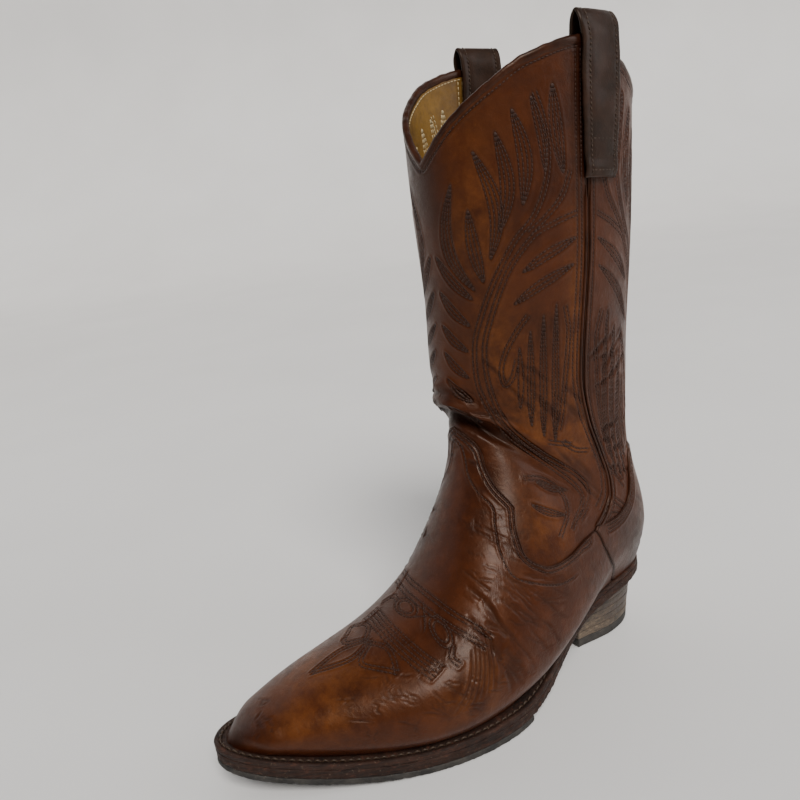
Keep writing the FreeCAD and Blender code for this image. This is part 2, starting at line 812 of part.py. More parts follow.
def back_bounds(low_trim, high_trim):
    """Patch of the leg between the side seams, over the back."""
    def bounds(u, v):
        seam_station = SEAM_FOOT + (SEAM_HEAD - SEAM_FOOT) * v
        seam_turn = SIDE_SEAM.at(seam_station) + SEAM_GAP
        turn = seam_turn + (2 * math.pi - 2 * seam_turn) * eased(u)
        foot_turn = SIDE_SEAM.at(SEAM_FOOT)
        low_turn = foot_turn + (2 * math.pi - 2 * foot_turn) * eased(u)
        high_turn = SEAM_TURN + (2 * math.pi - 2 * SEAM_TURN) * eased(u)
        low = COUNTER_EDGE.at(fold(low_turn)) + low_trim
        high = TOP_EDGE.at(fold(high_turn)) - high_trim
        return low + (high - low) * v, turn
    return bounds


def even_turns(station, steps):
    """Line from a share of the way round one section, 0 at the front and 1 at the back, to turn."""
    turns = [BACK * i / steps for i in range(steps + 1)]
    places = [upper_point(station, turn) for turn in turns]
    run = [0.0]
    for before, after in zip(places, places[1:]):
        run.append(run[-1] + (after - before).Length)
    chosen = range(0, steps + 1, 4)
    return SmoothLine([(run[i] / run[-1], turns[i]) for i in chosen])


FOOT_TURNS = even_turns(3.0, 480)


def vamp_bounds(first_station, trim, margin):
    """Patch of the foot from the toe to the vamp's edge. It wraps under as a lasting margin."""
    def bounds(u, v):
        side = 2 * u - 1
        reach = 1 - margin * min(1.0, 0.15 + 4 * v)
        turn = math.copysign(FOOT_TURNS.at(abs(side) * reach), side)
        high = VAMP_EDGE.at(abs(turn)) - trim
        return first_station + (high - first_station) * v, turn
    return bounds


def counter_bounds(low_trim, high_trim, first_turn):
    """Patch round the heel, above the vamp's rear seam and below the counter's top edge."""
    def bounds(u, v):
        turn = first_turn + (2 * math.pi - 2 * first_turn) * eased(u)
        low = VAMP_EDGE.at(fold(turn)) + low_trim
        high = COUNTER_EDGE.at(fold(turn)) - high_trim
        return low + (high - low) * v, turn
    return bounds


def bottom_bounds(first_station, last_station, half_turn):
    """Patch under the foot."""
    def bounds(u, v):
        turn = BACK + (2 * u - 1) * half_turn
        return first_station + (last_station - first_station) * v, turn
    return bounds


def toe_bounds(first_station, last_station, half_turn):
    """Patch over the toe."""
    def bounds(u, v):
        turn = (2 * u - 1) * half_turn
        return first_station + (last_station - first_station) * v, turn
    return bounds


def edge_strip(first_turn, last_turn, height):
    """Strip that sits on the top edge between two turns."""
    def bounds(u, v):
        turn = first_turn + (last_turn - first_turn) * u
        station = TOP_EDGE.at(fold(turn)) + height * v
        return station, turn
    return bounds


def seam_strip(side, first_station, last_station, half_angle):
    """Strip that covers a side seam. side is 1 for lateral and -1 for medial."""
    def bounds(u, v):
        station = first_station + (last_station - first_station) * v
        turn = side * (SIDE_SEAM.at(station) + (2 * u - 1) * side * half_angle)
        return station, turn
    return bounds


lining_back = lining_depth + lining
stiffener_back = stiffener_depth + stiffener
insole_back = insole_depth + size("insole_leather")
sock_back = sock_depth + size("sock_pad_sheet")
vamp_patch = vamp_bounds(TIP_PINCH, EDGE_GAP, LASTING_MARGIN)
vamp_lining_patch = vamp_bounds(-0.7, EDGE_GAP * 2, LINING_MARGIN)
counter_patch = counter_bounds(EDGE_GAP, EDGE_GAP, COUNTER_TURN)
counter_lining_patch = counter_bounds(EDGE_GAP, EDGE_GAP, COUNTER_LINING_TURN)
stiffener_patch = counter_bounds(0.15, 0.5, STIFFENER_TURN)
add_skin("shaft_front", front_bounds(EDGE_GAP, 0.0), 0.0, leather, 40, 30)
add_skin("shaft_back", back_bounds(EDGE_GAP, 0.0), 0.0, leather, 60, 26)
add_skin("vamp", vamp_patch, -overlay, leather - overlay, 80, 36)
add_skin("heel_counter", counter_patch, -overlay, leather - overlay, 40, 14)
add_skin("shaft_front_lining", front_bounds(EDGE_GAP * 2, 0.0), lining_depth, lining_back, 32, 26)
add_skin("shaft_back_lining", back_bounds(EDGE_GAP * 2, 0.0), lining_depth, lining_back, 56, 22)
add_skin("vamp_lining", vamp_lining_patch, lining_depth, lining_back, 70, 26)
add_skin("heel_lining", counter_lining_patch, lining_depth, lining_back, 48, 12)
add_skin("toe_puff", toe_bounds(-0.8, 1.2, 2.0), stiffener_depth, stiffener_back, 24, 12)
add_skin("counter_stiffener", stiffener_patch, stiffener_depth, stiffener_back, 28, 10)
add_skin("insole", bottom_bounds(-0.6, 6.9, 0.75), insole_depth, insole_back, 10, 34)
add_skin("sock_pad", bottom_bounds(4.8, 6.7, 0.65), sock_depth, sock_back, 8, 14)

# the binding is folded over the raw top edge; its two strips meet at the side seams
STATION_HEIGHT = 60.0
BINDING_GAP = 0.02
BINDING_PROUD = -0.4
binding_span = size("binding_height") / STATION_HEIGHT
binding_inside = lining_depth + lining + overlay / 3
binding_start = SEAM_TURN + BINDING_GAP
front_edge = edge_strip(BINDING_GAP - SEAM_TURN, SEAM_TURN - BINDING_GAP, binding_span)
back_edge = edge_strip(binding_start, 2 * math.pi - binding_start, binding_span)
add_skin("topline_binding_front", front_edge, BINDING_PROUD, binding_inside, 36, 2)
add_skin("topline_binding_back", back_edge, BINDING_PROUD, binding_inside, 36, 2)
for side, side_name in ((1, "lateral"), (-1, "medial")):
    piping = seam_strip(side, PIPING_FOOT, PIPING_HEAD, size("piping_half_angle"))
    add_skin("side_piping_" + side_name, piping, -size("piping_height"), -layer_gap, 4, 24)

# ---------------------------------------------------------------------------
# Pull straps: leather loops over the top edge at both side seams
# ---------------------------------------------------------------------------


STRAP_TURN = 1.72
STRAP_FOOT = 11.75
STRAP_OUTER_GAP = 0.9
STRAP_INNER_GAP = 1.6


def add_strap(side, label):
    """Inverted U of strap leather: an outer leg, a loop above the edge and an inner leg."""
    foot = upper_point(STRAP_FOOT, side * STRAP_TURN)
    head = upper_point(SEAM_HEAD, side * STRAP_TURN)
    sheet_leather = size("strap_sheet")
    outer_face = max(abs(foot.x), abs(head.x)) + STRAP_OUTER_GAP + sheet_leather
    wall_inside = min(abs(foot.x), abs(head.x)) - lining_depth - lining
    inner_face = wall_inside - STRAP_INNER_GAP - sheet_leather
    loop_radius = (outer_face - inner_face) / 2
    loop_level = size("strap_top") - loop_radius
    middle = side * (outer_face + inner_face) / 2
    bottom = size("strap_outer_bottom")
    inner_bottom = size("strap_inner_bottom")

    def leg_points(radius):
        return middle + side * radius, middle - side * radius

    out_x, in_x = leg_points(loop_radius)
    out_inside_x, in_inside_x = leg_points(loop_radius - sheet_leather)
    inside_top = loop_level + loop_radius - sheet_leather
    geometry = [
        Part.LineSegment(Vector(out_x, bottom, 0), Vector(out_x, loop_level, 0)),
        Part.Arc(
            Vector(out_x, loop_level, 0),
            Vector(middle, loop_level + loop_radius, 0),
            Vector(in_x, loop_level, 0),
        ),
        Part.LineSegment(Vector(in_x, loop_level, 0), Vector(in_x, inner_bottom, 0)),
        Part.LineSegment(Vector(in_x, inner_bottom, 0), Vector(in_inside_x, inner_bottom, 0)),
        Part.LineSegment(Vector(in_inside_x, inner_bottom, 0), Vector(in_inside_x, loop_level, 0)),
        Part.Arc(
            Vector(in_inside_x, loop_level, 0),
            Vector(middle, inside_top, 0),
            Vector(out_inside_x, loop_level, 0),
        ),
        Part.LineSegment(Vector(out_inside_x, loop_level, 0), Vector(out_inside_x, bottom, 0)),
        Part.LineSegment(Vector(out_inside_x, bottom, 0), Vector(out_x, bottom, 0)),
    ]
    body = add_pad(label + "_body", "XZ_Plane", geometry, "Sizes.strap_width", both_ways=True)
    pivot = Vector(0, 0, bottom)
    turn = Rotation(Vector(1, 0, 0), -size("strap_lean"))
    place = Vector(0, size("strap_y"), 0)
    body.Placement = Placement(place, turn, pivot)
    return keep(body, label)


add_strap(1, "pull_strap_lateral")
add_strap(-1, "pull_strap_medial")

# ---------------------------------------------------------------------------
# Checks and files
# ---------------------------------------------------------------------------

doc.recompute()
for item in doc.Objects:
    if "Invalid" in item.State or "Error" in item.State:
        raise RuntimeError("%s failed: %s" % (item.Label, item.State))
os.makedirs("parts", exist_ok=True)
for item in nodes:
    shape = item.Shape
    if shape.isNull() or not shape.isValid() or not shape.Solids:
        raise RuntimeError("%s has no valid solid" % item.Label)
    if min(solid.Volume for solid in shape.Solids) <= 0:
        raise RuntimeError("%s has an empty solid" % item.Label)
for item in nodes:
    shape = item.Shape
    box = shape.BoundBox
    shape.exportStep("parts/%s.step" % item.Label)
    print("%-24s solids %3d volume %9.1f box (%.1f %.1f %.1f) (%.1f %.1f %.1f)" % (
        item.Label, len(shape.Solids), shape.Volume,
        box.XMin, box.YMin, box.ZMin, box.XMax, box.YMax, box.ZMax,
    ))
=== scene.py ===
import math
import bpy
import numpy as np
from mathutils import Matrix, Vector, noise
from mathutils.kdtree import KDTree


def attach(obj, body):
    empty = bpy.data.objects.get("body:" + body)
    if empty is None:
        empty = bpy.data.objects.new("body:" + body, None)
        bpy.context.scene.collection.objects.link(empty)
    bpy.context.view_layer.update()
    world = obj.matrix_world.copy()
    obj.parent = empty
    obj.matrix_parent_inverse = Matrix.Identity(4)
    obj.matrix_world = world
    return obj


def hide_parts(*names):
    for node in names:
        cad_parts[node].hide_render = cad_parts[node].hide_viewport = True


# A left cowboy boot. Lengths below are millimetres, turned into metres when a mesh is made.
# Places on the upper are (station, turn): station counts the sections from the toe to the top,
# turn is 0 at the front, pi/2 on the outer side and pi at the back or under the foot.

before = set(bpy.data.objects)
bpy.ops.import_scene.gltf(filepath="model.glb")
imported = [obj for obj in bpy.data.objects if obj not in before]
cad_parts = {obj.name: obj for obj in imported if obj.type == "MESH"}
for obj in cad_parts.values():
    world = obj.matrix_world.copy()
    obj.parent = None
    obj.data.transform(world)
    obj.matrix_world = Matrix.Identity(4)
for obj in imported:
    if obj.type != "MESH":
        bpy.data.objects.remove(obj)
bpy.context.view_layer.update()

MM = 0.001
PI = math.pi


def lengths_along(points):
    """Distance run along a line of points, from 0 at its first one."""
    return np.concatenate([[0], np.cumsum(np.linalg.norm(np.diff(points, axis=0), axis=1))])


def search_tree(places):
    """Tree that finds the nearest of the places."""
    tree = KDTree(len(places))
    for number, place in enumerate(places):
        tree.insert(place, number)
    tree.balance()
    return tree


# ---------------------------------------------------------------------------
# The upper's surface, as in the CAD model
# ---------------------------------------------------------------------------

# front_y, front_z, back_y, back_z, lateral, medial, front_x, back_x, girth_at,
# front_round, back_round
SECTIONS = np.array([
    (-229, 42, -232, 23.0, 23, 24, -4, -10, 0.60, 2.0, 3.0),
    (-197, 54, -206, 18.2, 35, 38, 5, -3, 0.62, 2.0, 3.4),
    (-154, 67, -165, 14.6, 51, 48, 11, 5, 0.66, 2.0, 3.6),
    (-125, 88, -123, 14.6, 57, 48, 9, 8, 0.68, 1.9, 3.4),
    (-105, 112, -82, 18.6, 55, 45, 3, 9, 0.66, 1.9, 3.2),
    (-90, 135, -39, 32.2, 50, 41, -2, 9, 0.62, 1.9, 2.9),
    (-83, 155, 2, 43.0, 43, 38, -6, 8, 0.58, 2.0, 2.5),
    (-84, 169, 37, 47.0, 39, 37, -11, 6, 0.55, 2.1, 2.2),
    (-87, 182, 48, 74.0, 38, 37, -13, 3, 0.52, 2.1, 2.1),
    (-87, 200, 40, 120.0, 43, 42, -12, -1, 0.50, 2.1, 2.1),
    (-86, 225, 39, 176.0, 47, 46, -8, -3, 0.48, 2.1, 2.1),
    (-86, 261, 46, 235.0, 50, 50, -5, -3, 0.48, 2.1, 2.1),
    (-87, 312, 53, 300.0, 51, 51, -5, -3, 0.49, 2.1, 2.1),
    (-86, 374, 58, 370.0, 52, 51, -5, -3, 0.50, 2.1, 2.1),
])
TOE_TIP = (-11.0, -249.0, 28.0)
NOSE_TAPER = 0.33
NOSE = -0.97
LAST_STATION = len(SECTIONS) - 1.0


def spline_bends(values):
    """Second derivatives of a natural cubic spline through rows at whole-number stations."""
    count = len(values)
    system = np.eye(count)
    load = np.zeros(values.shape)
    for i in range(1, count - 1):
        system[i, i - 1:i + 2] = (1, 4, 1)
        load[i] = 6 * (values[i + 1] - 2 * values[i] + values[i - 1])
    return np.linalg.solve(system, load)


BENDS = spline_bends(SECTIONS)


def section_values(station):
    station = np.clip(station, 0.0, LAST_STATION)
    i = np.minimum(station.astype(int), len(SECTIONS) - 2)
    after = (station - i)[..., None]
    before = 1 - after
    curve = (BENDS[i] * before ** 3 + BENDS[i + 1] * after ** 3) / 6
    start = SECTIONS[i] - BENDS[i] / 6
    end = SECTIONS[i + 1] - BENDS[i + 1] / 6
    return np.moveaxis(curve + start * before + end * after, -1, 0)


def upper(station, turn):
    """Points of the upper's outer surface."""
    station, turn = np.broadcast_arrays(np.asarray(station, float), np.asarray(turn, float))
    (front_y, front_z, back_y, back_z, lateral, medial, front_x, back_x, girth_at,
     front_round, back_round) = section_values(station)
    sine, cosine = np.sin(turn), np.cos(turn)
    power = np.where(cosine >= 0, front_round, back_round)
    reach = np.abs(cosine) ** (2 / power)
    along = np.where(cosine >= 0, girth_at * (1 - reach), girth_at + (1 - girth_at) * reach)
    half = np.where(sine >= 0, lateral, medial)
    x = front_x * (1 - along) + back_x * along + half * np.sign(sine) * np.abs(sine) ** (2 / power)
    y = front_y * (1 - along) + back_y * along
    z = front_z * (1 - along) + back_z * along
    # in front of the first section the outline closes to the toe's tip like an ellipsoid
    angle = np.clip(station + 1, 0, 1) * PI / 2
    reach = np.where(station < 0, np.cos(angle), 0.0)
    shrink = np.where(station < 0, np.sin(angle) * (1 - NOSE_TAPER * reach), 1.0)
    middle = (front_y + back_y) / 2
    tip_x, tip_y, tip_z = TOE_TIP
    y = y * shrink + (1 - shrink) * middle + (tip_y - middle) * reach
    return np.stack([tip_x + (x - tip_x) * shrink, y, tip_z + (z - tip_z) * shrink], -1)


def surface_frame(station, turn):
    """Unit normal, and the surface's change per station and per radian of turn."""
    step = 0.004
    inner = np.clip(station, NOSE, LAST_STATION - step)
    per_turn = (upper(inner, turn + step) - upper(inner, turn - step)) / (2 * step)
    per_station = (upper(inner + step, turn) - upper(inner - step, turn)) / (2 * step)
    normal = np.cross(per_turn, per_station)
    normal /= np.linalg.norm(normal, axis=-1, keepdims=True)
    return normal, per_station, per_turn


def bump_at(station, turn, centre, spread):
    """Smooth hill of height 1 at a place, with its spread in stations and radians."""
    away = np.angle(np.exp(1j * (turn - centre[1])))
    return np.exp(-((station - centre[0]) / spread[0]) ** 2 - (away / spread[1]) ** 2)


# ---------------------------------------------------------------------------
# The sole's outline and side curve
# ---------------------------------------------------------------------------

HALF_SOLE, OUTSOLE, WELT = 4.2, 5.5, 3.5
WELT_TOP = HALF_SOLE + OUTSOLE + WELT
TREAD_FRONT, TREAD_REAR = -156.0, -111.0
TOE_RADIUS, ARCH_RADIUS, SEAT_RADIUS = 340.0, 110.0, 244.0
ARCH_SLOPE, SEAT_SLOPE = math.radians(17.7), math.radians(5.7)
ARCH_LENGTH = 50.0
BREAST = -29.0
SOLE_OUTLINE = np.array([
    (-13, -259), (2, -252), (18, -233), (38, -200), (54, -165), (62, -129), (59, -96), (46, -62),
    (35, -30), (34, 0), (27, 27), (2, 40), (-23, 29), (-33, 0), (-32, -33), (-36, -65),
    (-43, -100), (-49, -135), (-50, -170), (-46, -207), (-38, -237), (-28, -252),
], float)


def sole_level(y, rise):
    """Height of a layer of the sole, rise above the welt's top, along the boot."""
    level = WELT_TOP + rise
    toe_radius, arch_radius, seat_radius = TOE_RADIUS - rise, ARCH_RADIUS - rise, SEAT_RADIUS + rise
    toe = level + toe_radius - np.sqrt(np.maximum(toe_radius ** 2 - (y - TREAD_FRONT) ** 2, 0))
    arch = level + arch_radius - np.sqrt(np.maximum(arch_radius ** 2 - (y - TREAD_REAR) ** 2, 0))
    arch_end = TREAD_REAR + arch_radius * math.sin(ARCH_SLOPE)
    arch_top = level + arch_radius * (1 - math.cos(ARCH_SLOPE))
    ramp = arch_top + (y - arch_end) * math.tan(ARCH_SLOPE)
    ramp_end = arch_end + ARCH_LENGTH * math.cos(ARCH_SLOPE)
    ramp_top = arch_top + ARCH_LENGTH * math.sin(ARCH_SLOPE)
    centre_y = ramp_end + seat_radius * math.sin(ARCH_SLOPE)
    centre_z = ramp_top - seat_radius * math.cos(ARCH_SLOPE)
    seat = centre_z + np.sqrt(np.maximum(seat_radius ** 2 - (y - centre_y) ** 2, 0))
    seat_start = centre_y - seat_radius * math.sin(SEAT_SLOPE)
    seat_top = centre_z + seat_radius * math.cos(SEAT_SLOPE)
    flat_seat = seat_top + (y - seat_start) * math.tan(SEAT_SLOPE)
    return np.select([y < TREAD_FRONT, y < TREAD_REAR, y < arch_end, y < ramp_end, y < seat_start],
                     [toe, level + 0 * y, arch, ramp, seat], flat_seat)


def closed_spline(knots, count):
    """Even points on a periodic cubic spline through the knots."""
    size = len(knots)
    chord = np.linalg.norm(np.roll(knots, -1, 0) - knots, axis=1)
    system = np.zeros((size, size))
    load = np.zeros((size, 2))
    for i in range(size):
        before, after = chord[i - 1], chord[i]
        system[i, i] = 2 * (before + after)
        system[i, i - 1] = before
        system[i, (i + 1) % size] = after
        load[i] = 6 * ((knots[(i + 1) % size] - knots[i]) / after - (knots[i] - knots[i - 1]) / before)
    bend = np.linalg.solve(system, load)
    dense = []
    for i in range(size):
        k = np.linspace(0, 1, 60, endpoint=False)[:, None]
        j = (i + 1) % size
        curve = (bend[i] * (1 - k) ** 3 + bend[j] * k ** 3) * chord[i] ** 2 / 6
        start = knots[i] - bend[i] * chord[i] ** 2 / 6
        end = knots[j] - bend[j] * chord[i] ** 2 / 6
        dense.append(curve + start * (1 - k) + end * k)
    return even_loop(np.concatenate(dense), count)


def even_loop(points, count):
    """The same closed loop with evenly spaced points."""
    closed = np.concatenate([points, points[:1]])
    run = lengths_along(closed)
    at = np.linspace(0, run[-1], count, endpoint=False)
    return np.stack([np.interp(at, run, closed[:, 0]), np.interp(at, run, closed[:, 1])], 1)


def inward(loop):
    """Unit normals into a closed loop that runs round the outer side first."""
    along = np.roll(loop, -2, 0) - np.roll(loop, 2, 0)
    along /= np.linalg.norm(along, axis=1, keepdims=True)
    return np.stack([-along[:, 1], along[:, 0]], 1)


outline_loop = closed_spline(SOLE_OUTLINE, 1100)

# Feather line, where the upper meets the sole: how far it lies inside the sole's edge along the
# boot, the height above the sole over which the wall is drawn to it, and how far off it acts
FEATHER_INSET = ((-260, -200, -100, -60, -29), (7.0, 7.0, 5.5, 3.4, 1.6))
FEATHER_HEIGHT = ((-230, -100, -20), (9.0, 12.0, 24.0))
FEATHER_REACH, FEATHER_FADE = 12.0, 6.0
FEATHER_DROP = 0.9
feather_inset = np.interp(outline_loop[:, 1], *FEATHER_INSET)
feather_loop = outline_loop + inward(outline_loop) * feather_inset[:, None]
feather_tree = search_tree([(x, y, 0.0) for x, y in feather_loop.tolist()])


def settle(points):
    """Move that draws the lowest part of the wall out and down to the feather line."""
    flat = points.reshape(-1, 3)
    lift = flat[:, 2] - sole_level(flat[:, 1], np.where(flat[:, 1] < BREAST, 0.0, -0.5))
    near = np.clip(1 - lift / np.interp(flat[:, 1], *FEATHER_HEIGHT), 0, 1)
    near = near * near * (3 - 2 * near)
    move = np.zeros(flat.shape)
    for number in np.flatnonzero(near > 0.002):
        x, y, _ = flat[number]
        (to_x, to_y, _), _, distance = feather_tree.find((x, y, 0.0))
        share = near[number] * min(max(1 + (FEATHER_REACH - distance) / FEATHER_FADE, 0.0), 1.0)
        drop = FEATHER_DROP * share * max(lift[number], 0.0)
        move[number] = (share * (to_x - x), share * (to_y - y), -drop)
    return move.reshape(points.shape)


# Soft folds that the whole wall follows: height in mm, (station, turn), spread in stations, radians
SOFT_FOLDS = [
    (2.4, (8.3, 1.10), (1.00, 0.42)),
    (1.8, (8.2, -1.10), (0.90, 0.42)),
    (-3.0, (6.85, 0.35), (0.36, 0.60)),
    (-2.8, (6.85, -0.35), (0.36, 0.55)),
    (3.0, (7.75, 0.15), (0.45, 0.75)),
    (-1.8, (8.45, 0.10), (0.28, 0.80)),
    (-1.3, (9.0, 0.30), (0.55, 0.70)),
    (1.5, (6.1, 0.00), (0.60, 0.30)),
    (-1.6, (8.9, 2.35), (0.55, 0.45)),
    (-1.6, (8.9, -2.35), (0.55, 0.45)),
    (1.3, (9.8, 2.20), (0.60, 0.55)),
    (-1.0, (10.2, 0.70), (0.80, 0.50)),
    (1.0, (11.2, 0.25), (0.90, 0.50)),
    (0.9, (11.6, -0.60), (0.90, 0.50)),
    (-1.4, (3.15, 1.25), (0.30, 0.45)),
    (-1.1, (3.15, -1.15), (0.30, 0.45)),
    (1.0, (3.70, 0.80), (0.35, 0.60)),
    (1.0, (1.90, 1.10), (0.50, 0.50)),
]


def soft_folds(station, turn):
    """Height of all the soft folds together."""
    return sum(height * bump_at(station, turn, place, spread) for height, place, spread in SOFT_FOLDS)


def skin(station, turn, depth):
    """Points at a depth inside the folded surface; a negative depth is outside it."""
    station, turn = np.broadcast_arrays(np.asarray(station, float), np.asarray(turn, float))
    normal, _, _ = surface_frame(station, turn)
    wall = upper(station, turn) + normal * soft_folds(station, turn)[..., None]
    return wall + settle(wall) - normal * (depth + 0 * station)[..., None]


class SmoothLine:
    """Smooth line through (x, y) points that doesn't overshoot them."""

    def __init__(self, points):
        self.x, self.y = np.array(points, float).T
        rise = np.diff(self.y) / np.diff(self.x)
        self.slope = np.concatenate([rise[:1], np.zeros(len(rise) - 1), rise[-1:]])
        for i in range(1, len(rise)):
            if rise[i - 1] * rise[i] > 0:
                self.slope[i] = 2 * rise[i - 1] * rise[i] / (rise[i - 1] + rise[i])

    def at(self, x):
        x = np.clip(x, self.x[0], self.x[-1])
        i = np.clip(np.searchsorted(self.x, x, "right") - 1, 0, len(self.x) - 2)
        span = self.x[i + 1] - self.x[i]
        k = (x - self.x[i]) / span
        start = self.y[i] * (1 + 2 * k) * (1 - k) ** 2 + self.slope[i] * span * k * (1 - k) ** 2
        end = self.y[i + 1] * k * k * (3 - 2 * k) + self.slope[i + 1] * span * k * k * (k - 1)
        return start + end


# Edges of the upper's panels, as station over turn from the front centre
VAMP_EDGE = SmoothLine([
    (0.00, 6.45), (0.20, 6.25), (0.36, 6.00), (0.44, 5.50), (0.60, 5.25), (0.78, 5.18), (0.86, 4.80),
    (1.00, 4.60), (1.20, 4.75), (1.42, 5.25), (1.56, 5.85), (1.62, 6.20), (1.80, 6.05), (2.10, 5.95),
    (PI, 5.95),
])
COUNTER_EDGE = SmoothLine([
    (1.62, 6.35), (1.80, 7.00), (1.92, 7.40), (2.05, 7.80), (2.20, 8.40), (2.45, 8.85), (PI, 9.10),
])
TOP_EDGE = SmoothLine([
    (0.00, 12.00), (0.38, 12.32), (0.78, 12.58), (1.10, 12.76), (1.60, 12.88), (2.01, 12.72),
    (2.40, 12.55), (PI, 12.40),
])
# The side seam, as turn over station
SIDE_SEAM = SmoothLine([
    (6.20, 1.62), (7.00, 1.68), (7.60, 1.76), (8.00, 1.78), (8.50, 1.73), (9.00, 1.65), (9.60, 1.60),
    (13.0, 1.60),
])
SEAM_TURN = 1.60
SEAM_FOOT = 6.20
SEAM_HEAD = 12.88
SEAM_GAP = 0.006
FOOT_TURN = float(SIDE_SEAM.at(SEAM_FOOT))
COUNTER_TURN = 1.615
# stations that the leg runs on under the foot's edges, and the gap at the vamp's rear edge
TUCK = 0.09
VAMP_GAP = 0.012


def fold(turn):
    """Turn measured from the front centre on either side, 0 to pi."""
    turn = np.mod(turn, 2 * PI)
    return np.minimum(turn, 2 * PI - turn)


def front_patch(u, v):
    """Leg between the side seams, over the front; u and v run from 0 to 1."""
    side = 2 * u - 1
    turn = side * (SIDE_SEAM.at(SEAM_FOOT + (SEAM_HEAD - SEAM_FOOT) * v) - SEAM_GAP)
    low = VAMP_EDGE.at(abs(side) * FOOT_TURN) - TUCK
    high = TOP_EDGE.at(abs(side) * SEAM_TURN)
    return low + (high - low) * v, turn


def back_patch(u, v):
    """Leg between the side seams, over the back."""
    seam = SIDE_SEAM.at(SEAM_FOOT + (SEAM_HEAD - SEAM_FOOT) * v) + SEAM_GAP
    turn = seam + (2 * PI - 2 * seam) * u
    low = COUNTER_EDGE.at(fold(FOOT_TURN + (2 * PI - 2 * FOOT_TURN) * u)) - TUCK
    high = TOP_EDGE.at(fold(SEAM_TURN + (2 * PI - 2 * SEAM_TURN) * u))
    return low + (high - low) * v, turn


def vamp_patch(u, v):
    """Foot from the toe to the vamp's edge, turned under as far as the lasting margin."""
    reach = PI - 0.5 * np.minimum(1.0, 0.15 + 4 * v)
    side = 2 * u - 1
    # most of the grid goes to the part that shows above the sole
    shown, shown_turn = 0.84, 1.75
    under = (abs(side) - shown) / (1 - shown)
    turn = np.where(under < 0, abs(side) / shown * shown_turn, shown_turn + (reach - shown_turn) * under)
    turn = np.sign(side) * turn
    high = VAMP_EDGE.at(abs(turn)) - VAMP_GAP
    return NOSE + (high - NOSE) * v, turn


def counter_patch(u, v):
    """Heel counter, above the vamp's rear seam."""
    turn = COUNTER_TURN + (2 * PI - 2 * COUNTER_TURN) * u
    low = VAMP_EDGE.at(fold(turn)) + VAMP_GAP
    high = COUNTER_EDGE.at(fold(turn)) + 0.01
    return low + (high - low) * v, turn


# ---------------------------------------------------------------------------
# Mesh helpers
# ---------------------------------------------------------------------------


def grid_faces(rows, columns, first=0, wrap=False):
    """Quads of a grid whose points run along the columns of each row; wrap joins the row ends."""
    i, j = np.meshgrid(np.arange(rows - 1), np.arange(columns if wrap else columns - 1), indexing="ij")
    i, j = i.ravel(), j.ravel()
    after = (j + 1) % columns
    low, high = i * columns, (i + 1) * columns
    return np.stack([low + j, low + after, high + after, high + j], 1) + first


def make_piece(name, points, faces, material, slot, stands_for=(), marks=None):
    """A piece from points in mm. marks are per-point numbers that the material reads."""
    mesh = bpy.data.meshes.new(name)
    mesh.from_pydata((np.asarray(points).reshape(-1, 3) * MM).tolist(), [], np.asarray(faces).tolist())
    mesh.polygons.foreach_set("use_smooth", [True] * len(mesh.polygons))
    for mark, values in (marks or {}).items():
        layer = mesh.attributes.new(mark, "FLOAT", "POINT")
        layer.data.foreach_set("value", np.asarray(values, float).ravel())
    mesh.materials.append(material)
    piece = bpy.data.objects.new(name, mesh)
    bpy.context.scene.collection.objects.link(piece)
    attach(piece, "root")
    if stands_for:
        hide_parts(*stands_for)
    return piece


def join_parts(parts):
    """One list of points and faces from several (points, faces)."""
    points, faces, first = [], [], 0
    for part_points, part_faces in parts:
        part_points = np.asarray(part_points).reshape(-1, 3)
        points.append(part_points)
        faces.append(np.asarray(part_faces) + first)
        first += len(part_points)
    return np.concatenate(points), np.concatenate(faces)


def tube(centres, radius, sides=10, closed=False):
    """Round tube along a line of points; radius may change along it."""
    centres = np.asarray(centres)
    ahead = np.roll(centres, -1, 0) - np.roll(centres, 1, 0)
    if not closed:
        ahead[0], ahead[-1] = centres[1] - centres[0], centres[-1] - centres[-2]
    ahead /= np.linalg.norm(ahead, axis=1, keepdims=True)
    across = np.cross(ahead, (0.12, 0.08, 1.0))
    across /= np.linalg.norm(across, axis=1, keepdims=True)
    upward = np.cross(across, ahead)
    angle = np.arange(sides) * 2 * PI / sides
    radius = np.broadcast_to(radius, len(centres))[:, None, None]
    ring = across[:, None] * np.cos(angle)[None, :, None] + upward[:, None] * np.sin(angle)[None, :, None]
    points = centres[:, None] + ring * radius
    faces = grid_faces(len(centres), sides, wrap=True)
    if closed:
        last = (len(centres) - 1) * sides
        j = np.arange(sides)
        after = (j + 1) % sides
        faces = np.concatenate([faces, np.stack([last + j, last + after, after, j], 1)])
    return points.reshape(-1, 3), faces


def edge_steps(count, margin):
    """0 to 1 in even steps, with extra steps close to both ends."""
    steps = np.linspace(0, 1, count)
    extra = np.array([0.12, 0.3, 0.6]) * margin
    return np.concatenate([[0], extra, steps[1:-1], 1 - extra[::-1], [1]])


# ---------------------------------------------------------------------------
# Lines on the upper: stitch rows and creases, as (station, turn) points
# ---------------------------------------------------------------------------

HEIGHT_STATIONS = np.linspace(5.0, LAST_STATION, 400)


def at_height(turn, height):
    """Station where the surface reaches a height at one turn."""
    heights = upper(HEIGHT_STATIONS, np.full(400, turn))[:, 2]
    return float(np.interp(height, heights, HEIGHT_STATIONS))


def leg_line(points):
    """(turn, height) points on the leg as (station, turn) points."""
    return [(at_height(turn, height), turn) for turn, height in points]


def foot_line(points):
    """(turn, station) points on the foot as (station, turn) points."""
    return [(station, turn) for turn, station in points]


